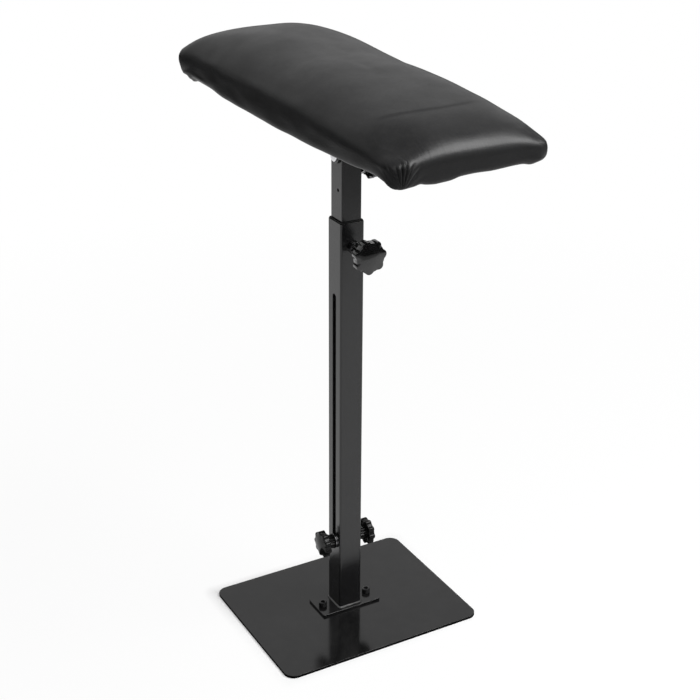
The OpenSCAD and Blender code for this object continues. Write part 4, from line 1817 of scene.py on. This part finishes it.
    def build(self) -> bpy.types.Object:
        """Models the cover.

        Returns:
            The cover.
        """
        fine = self.even_form("cover_fine", 0.0, self.fine_voxel)
        work = bmesh.new()
        work.from_mesh(fine.data)
        bpy.data.objects.remove(fine)
        bmesh.ops.scale(work, vec=(1 / MM, 1 / MM, 1 / MM), verts=work.verts)
        every_way = dict(factor=0.5, use_axis_x=True, use_axis_y=True, use_axis_z=True)
        crown = [v for v in work.verts if v.co.z > self.form.low.z + self.crown_from]
        for verts, times in ((list(work.verts), self.smoothings), (crown, self.crown_smoothings)):
            for _ in range(times):
                bmesh.ops.smooth_vert(work, verts=verts, **every_way)
        tip = Vector((-self.form.half_w, -self.form.half_l, self.form.low.z)) + Vector(self.finer_tip)
        for reach in self.finer_within:
            gathered = [e for e in work.edges if all((v.co - tip).length < reach for v in e.verts)]
            bmesh.ops.subdivide_edges(work, edges=gathered, cuts=1, use_grid_fill=True)
        work.normal_update()
        stand_off = self.swelling()
        places = [self.sculpted(v.co + v.normal * stand_off(v.co), v.normal) for v in work.verts]
        for vert, place in zip(work.verts, places):
            vert.co = place
        self.cut_window(work)
        bmesh.ops.scale(work, vec=(MM, MM, MM), verts=work.verts)
        data = bpy.data.meshes.new("leather_cover")
        work.to_mesh(data)
        work.free()
        cover = dress(data, "leather_cover", Body.PAD, "black_leather", ["pad_cover"], 80.0)
        wall = cover.modifiers.new("wall", "SOLIDIFY")
        wall.thickness = self.thickness * MM
        wall.offset = -1.0
        return cover

    def cut_window(self, work: bmesh.types.BMesh) -> None:
        """Cuts the opening inside the leather's folded margin underneath.

        Args:
            work: The cover's mesh, in millimetres.
        """
        half_x, half_y = self.form.half_w - self.fold, self.form.half_l - self.fold
        under = self.form.low.z + self.margin_h
        for point, way in (((half_x, 0, 0), (1, 0, 0)), ((-half_x, 0, 0), (-1, 0, 0)),
                           ((0, half_y, 0), (0, 1, 0)), ((0, -half_y, 0), (0, -1, 0))):
            low = [f for f in work.faces if all(v.co.z < under for v in f.verts)]
            geom = list({g for f in low for g in (*f.verts, *f.edges, f)})
            bmesh.ops.bisect_plane(work, geom=geom, plane_co=point, plane_no=way)
        inside = [f for f in work.faces if f.calc_center_median().z < under
                  and abs(f.calc_center_median().x) < half_x and abs(f.calc_center_median().y) < half_y]
        bmesh.ops.delete(work, geom=inside, context="FACES")


@dataclass
class FoamBlock:
    """The foam under the leather, hollowed underneath for the board."""

    form: PadForm
    gap: float = 7.0
    clear: float = 0.1
    ceiling_end: float = 2.0
    edge_rings: int = 3
    crown_rings: int = 14

    def build(self) -> bpy.types.Object:
        """Models the foam.

        Returns:
            The foam.
        """
        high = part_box("pad_board")[1] / MM
        work = Workpiece("foam_block", Body.PAD, "pad_foam")
        rings = self.form.rings(self.gap, self.edge_rings, self.crown_rings)
        skirt = high.x + self.clear, high.y + self.clear
        ceiling = high.z + self.clear
        pocket = ((skirt, rings[0][0].z), (skirt, ceiling), ((self.ceiling_end, skirt[1] / 2), ceiling))
        bottom = [[Vector((x, y, height)) for x, y in self.form.outline(*half, self.form.board_corner)]
                  for half, height in pocket]
        loft(work.mesh, [*reversed(bottom), *rings])
        for vert in work.mesh.verts:
            up = vert.co.z - self.form.low.z
            if up > self.form.side_h + self.gap:
                vert.co.z += min(0.0, self.form.moved(vert.co, up, self.form.settling).z)
        foam = work.finish(["pad_foam"], sharp_deg=60.0)
        return foam


@dataclass
class Studio:
    """The pale floor, the soft lamps and the camera."""

    azimuth: float = -29.547
    elevation: float = 24.795
    roll: float = -0.330
    focal_px: float = 1396.009
    frame_px: float = 700.0
    sensor: float = 36.0
    place: tuple[float, float, float] = (-0.720357, -1.281167, 1.031540)
    lit_point: tuple[float, float, float] = (0.0, 0.0, 0.4)
    floor_size: float = 14.0
    # Painted reflection: the paper's glow and colour as mirrors and bounced rays see them, bright near the
    # rest and dark past these ends.
    paper_end: tuple[float, float] = (2.1, 2.3)
    front_end: tuple[float, float] = (-1.35, -1.1)
    front_far_end: tuple[float, float] = (-2.3, -2.0)
    paper_glow: float = 0.95
    paper_full: float = 0.9
    paper_dim: float = 0.27
    room_dark: float = 0.03
    room_light: float = 0.06
    # Painted contact shade: to the camera the floor glows less near the base plate's edge, which also lets
    # the real shadow show.
    contact_shade_reach: float = 0.016
    contact_shade_share: float = 0.35
    # Painted shade along the plate's edge, as mirrors and bounced rays see the floor: dark up to the first
    # distance, full past the second.
    plate_shade: tuple[float, float] = (0.003, 0.01)
    white_reach: tuple[float, float] = (0.5, 1.5)
    near_white: float = 0.92
    paper_tone: Color = (0.92, 0.92, 0.92)
    # The floor's colour where its painted shade and painted dark reflection fall.
    shade_tone: Color = (0.02, 0.02, 0.02)

    def camera(self) -> None:
        """Sets the camera where the photograph was taken from."""
        a, e, t = (math.radians(v) for v in (self.azimuth, self.elevation, self.roll))
        right = Vector((math.cos(a), math.sin(a), 0.0))
        back = Vector((math.sin(a) * math.cos(e), -math.cos(a) * math.cos(e), math.sin(e)))
        down = right.cross(back)
        turned_right = right * math.cos(t) + down * math.sin(t)
        turned_down = down * math.cos(t) - right * math.sin(t)
        data = bpy.data.cameras.new("view")
        data.sensor_width = self.sensor
        data.lens = self.sensor * self.focal_px / self.frame_px
        data.clip_end = 100.0
        camera = bpy.data.objects.new("view", data)
        columns = Matrix((turned_right, -turned_down, back)).transposed()
        camera.matrix_world = Matrix.Translation(self.place) @ columns.to_4x4()
        bpy.context.scene.collection.objects.link(camera)
        bpy.context.scene.camera = camera

    def lamp(self, name: str, aim: tuple[float, float, float], distance: float, size: tuple[float, float],
             power: float) -> None:
        """Hangs a soft lamp that looks at the rest.

        Args:
            name: Its name.
            aim: The way from the rest to the lamp.
            distance: How far off it is, in metres.
            size: Its width and height, in metres.
            power: Its power, in watts.
        """
        data = bpy.data.lights.new(name, "AREA")
        data.shape = "RECTANGLE"
        data.size, data.size_y = size
        data.energy = power
        lamp = bpy.data.objects.new(name, data)
        way = Vector(aim).normalized()
        lamp.location = Vector(self.lit_point) + way * distance
        lamp.rotation_mode = "QUATERNION"
        lamp.rotation_quaternion = way.to_track_quat("Z", "Y")
        bpy.context.scene.collection.objects.link(lamp)

    @staticmethod
    def off_plate(sheet: NodeSheet, place: bpy.types.NodeSocket) -> bpy.types.NodeSocket:
        """The distance of a place on the floor from the base plate's edge, 0 under the plate.

        Args:
            sheet: The floor's sheet.
            place: The coordinates.

        Returns:
            The distance's socket.
        """
        low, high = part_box("base_plate")
        middle = sheet.add("VectorMath", {0: place, 1: (low + high) / 2}, operation="SUBTRACT")
        reach = sheet.add("VectorMath", {0: middle.outputs[0]}, operation="ABSOLUTE")
        past = sheet.add("VectorMath", {0: reach.outputs[0], 1: (high - low) / 2}, operation="SUBTRACT")
        past = sheet.add("VectorMath", {0: past.outputs[0], 1: (0.0, 0.0, 0.0)}, operation="MAXIMUM")
        return sheet.add("VectorMath", {0: past.outputs[0]}, operation="LENGTH").outputs["Value"]

    def painted_mirror_glow(self, sheet: NodeSheet, place: bpy.types.NodeSocket,
                       away: bpy.types.NodeSocket) -> bpy.types.NodeSocket:
        """Painted reflection: how brightly the paper glows to mirrors, white near the rest, dark past its
        front and outer ends.

        Args:
            sheet: The floor's sheet.
            place: The coordinates.
            away: The distance from the rest.

        Returns:
            The brightness's socket.
        """
        front = sheet.add("SeparateXYZ", {0: place}).outputs["Y"]
        near = sheet.span(front, *self.front_end, self.room_dark, self.paper_glow)
        far = sheet.span(front, *self.front_far_end, self.room_dark, self.paper_dim)
        outer = sheet.span(away, *self.paper_end, self.paper_glow, self.room_dark)
        return sheet.math("MINIMUM", outer, sheet.math("MAXIMUM", near, far))

    def paper(self) -> bpy.types.Material:
        """Makes the paper: white to the camera, with the rest's shadow and a painted contact shade round the
        plate; to mirrors a painted glow that is dark past its ends and by the plate's edge; open to a camera
        below it.

        Returns:
            The material.
        """
        material = bpy.data.materials.new("floor_paper")
        material.use_nodes = True
        sheet = NodeSheet(material.node_tree)
        sheet.tree.nodes.clear()
        path = sheet.add("LightPath")
        camera = path.outputs["Is Camera Ray"]
        place = sheet.add("TexCoord").outputs["Object"]
        away = sheet.add("VectorMath", {0: place}, operation="LENGTH").outputs["Value"]
        edge = self.off_plate(sheet, place)
        # Painted contact shade round the plate, partly real shadow showing through the weaker glow.
        contact_shade = sheet.span(edge, 0.0, self.contact_shade_reach, self.contact_shade_share, 1.0)
        # Painted shade: the floor is dark right by the plate's edge for all but camera rays.
        edge_shade = sheet.span(edge, *self.plate_shade)
        mirror_glow = self.painted_mirror_glow(sheet, place, away)
        # Painted reflection and shade: to all but camera rays the floor's colour darkens past its ends and by
        # the plate's edge; the camera sees the plain paper.
        tone_share = sheet.math("MINIMUM", sheet.span(mirror_glow, self.room_dark, self.paper_full), edge_shade)
        tone_share = sheet.math("MAXIMUM", camera, tone_share)
        tone = sheet.blend(tone_share, rgba(self.shade_tone), rgba(self.paper_tone))
        matt = sheet.add("BsdfDiffuse", {"Color": tone})
        glow = sheet.add("Emission", {"Color": rgba((1.0, 1.0, 1.0)), "Strength": 1.0})
        white = sheet.math("MULTIPLY", camera, sheet.span(away, *self.white_reach, self.near_white, 1.0))
        # Painted reflection: the glow that mirrors see.
        mirror = sheet.math("MAXIMUM", path.outputs["Is Glossy Ray"], path.outputs["Is Transmission Ray"])
        mirror = sheet.math("MULTIPLY", sheet.math("MULTIPLY", mirror, mirror_glow), edge_shade)
        share = sheet.math("ADD", sheet.math("MULTIPLY", white, contact_shade), mirror)
        mixed = sheet.add("MixShader", {0: share, 1: matt.outputs[0], 2: glow.outputs[0]})
        below = sheet.math("MULTIPLY", sheet.add("NewGeometry").outputs["Backfacing"], camera)
        clear = sheet.add("BsdfTransparent")
        mixed = sheet.add("MixShader", {0: below, 1: mixed.outputs[0], 2: clear.outputs[0]})
        sheet.add("OutputMaterial", {"Surface": mixed.outputs[0]})
        return material

    def floor(self) -> None:
        """Lays the pale floor."""
        work = bmesh.new()
        bmesh.ops.create_grid(work, x_segments=2, y_segments=2, size=self.floor_size)
        data = bpy.data.meshes.new("floor")
        work.to_mesh(data)
        work.free()
        data.materials.append(self.paper())
        floor = bpy.data.objects.new("floor", data)
        bpy.context.scene.collection.objects.link(floor)

    def room(self) -> None:
        """Puts a white room round the rest, which gives hardly any light."""
        world = bpy.data.worlds.new("room")
        world.use_nodes = True
        sheet = NodeSheet(world.node_tree)
        background = sheet.tree.nodes["Background"]
        background.inputs["Color"].default_value = rgba((1.0, 1.0, 1.0))
        seen = sheet.add("LightPath").outputs["Is Camera Ray"]
        strength = sheet.span(seen, 0.0, 1.0, self.room_light, 1.0)
        sheet.tree.links.new(strength, background.inputs["Strength"])
        bpy.context.scene.world = world
        bpy.context.scene.view_settings.view_transform = "Standard"

    def build(self) -> None:
        """Sets the studio up."""
        self.floor()
        self.lamp("rear_panel", aim=(0.05, 0.9, 0.46), distance=3.2, size=(7.0, 2.4), power=34.0)
        self.lamp("front_box", aim=(0.45, -0.44, 0.78), distance=1.9, size=(1.3, 1.2), power=46.0)
        self.lamp("camera_side", aim=(-0.35, -0.6, 0.72), distance=3.0, size=(2.2, 2.2), power=30.0)
        self.room()
        self.camera()


def build_base() -> None:
    """Dresses the foot, the outer tube and what is fixed to them."""
    eases = {"base_plate": 0.8, "foot_flange": 0.4, "outer_tube": 0.25, "clamp_nut": 0.4, "guide_bush": 0.3}
    for node, ease in eases.items():
        Eased(node, Body.BASE, ease).build()
    low, high = (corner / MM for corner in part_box("outer_tube"))
    path, length = square_path(high.x, corner=2.4, height=low.z)
    WeldRun("foot_bead", ("foot_weld",), Body.BASE, path, Vector((0, 0, 1)), length, radius=1.7).build()
    cap_head = HeadedScrew(head_d=10.0, head_h=6.0, shank_d=6.0, socket=5.0, socket_depth=3.0, knurls=36)
    ScrewSet("flange_screws", Body.BASE, Facing.UP, cap_head).build()


def build_mast() -> None:
    """Dresses the mast and what is fixed to it."""
    for node in ("mast_tube", "glide_plug", "cross_block", "mast_cap", "tilt_nut"):
        Eased(node, Body.MAST, ease=0.25).build()
    for node in ("left_washer", "right_washer", "tilt_washer", "pivot_sleeve"):
        Eased(node, Body.MAST, ease=0.3).build()


def build_knobs() -> None:
    """Dresses the four knobs and their studs."""
    StarKnob("clamp_knob", Body.CLAMP_SCREW, Facing.FRONT, hub_l=17.0, hub_d=18.0, radius=20.0, turn=7.0,
             hollow=4.0, edge_r=1.0, dome=2.6).build()
    ThreadedStud("clamp_stud", Body.CLAMP_SCREW, Facing.FRONT, pitch=1.25).build()
    places = {"left": (Body.LEFT_SCREW, Facing.LEFT), "right": (Body.RIGHT_SCREW, Facing.RIGHT),
              "tilt": (Body.TILT_SCREW, Facing.RIGHT)}
    for name, (body, facing) in places.items():
        StarKnob(name + "_knob", body, facing, hub_l=10.0, hub_d=17.0, radius=16.4, turn=25.0, lobes=9,
                 lobe_share=0.18, valley_share=0.89, hollow=4.0, wall=1.8, edge_r=1.6).build()
        ThreadedStud(name + "_stud", body, facing, pitch=1.0).build()


def build_pad() -> None:
    """Dresses the tilt head and the pad."""
    Eased("tilt_bracket", Body.PAD, ease=0.4).build()
    PivotBolt().build()
    for node in ("pivot_washer", "pivot_nut", "tee_nuts", "dust_cover"):
        Eased(node, Body.PAD, ease=0.2).build()
    Eased("pad_board", Body.PAD, ease=0.8).build()
    Eased("cover_staples", Body.PAD, ease=0.15, rounds=1).build()
    button_head = HeadedScrew(head_d=11.0, head_h=3.3, shank_d=6.0, socket=4.0, socket_depth=2.0, dome=1.2)
    ScrewSet("bracket_screws", Body.PAD, Facing.DOWN, button_head).build()
    form = PadForm(*(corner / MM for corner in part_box("pad_cover")))
    LeatherCover(form).build()
    FoamBlock(form).build()


def main() -> None:
    """Builds the leg rest's pieces, the floor, the lamps and the camera."""
    logging.basicConfig(level=logging.INFO, format="%(name)s: %(message)s")
    build_base()
    build_mast()
    build_knobs()
    build_pad()
    Studio().build()


if __name__ == "__main__":
    main()
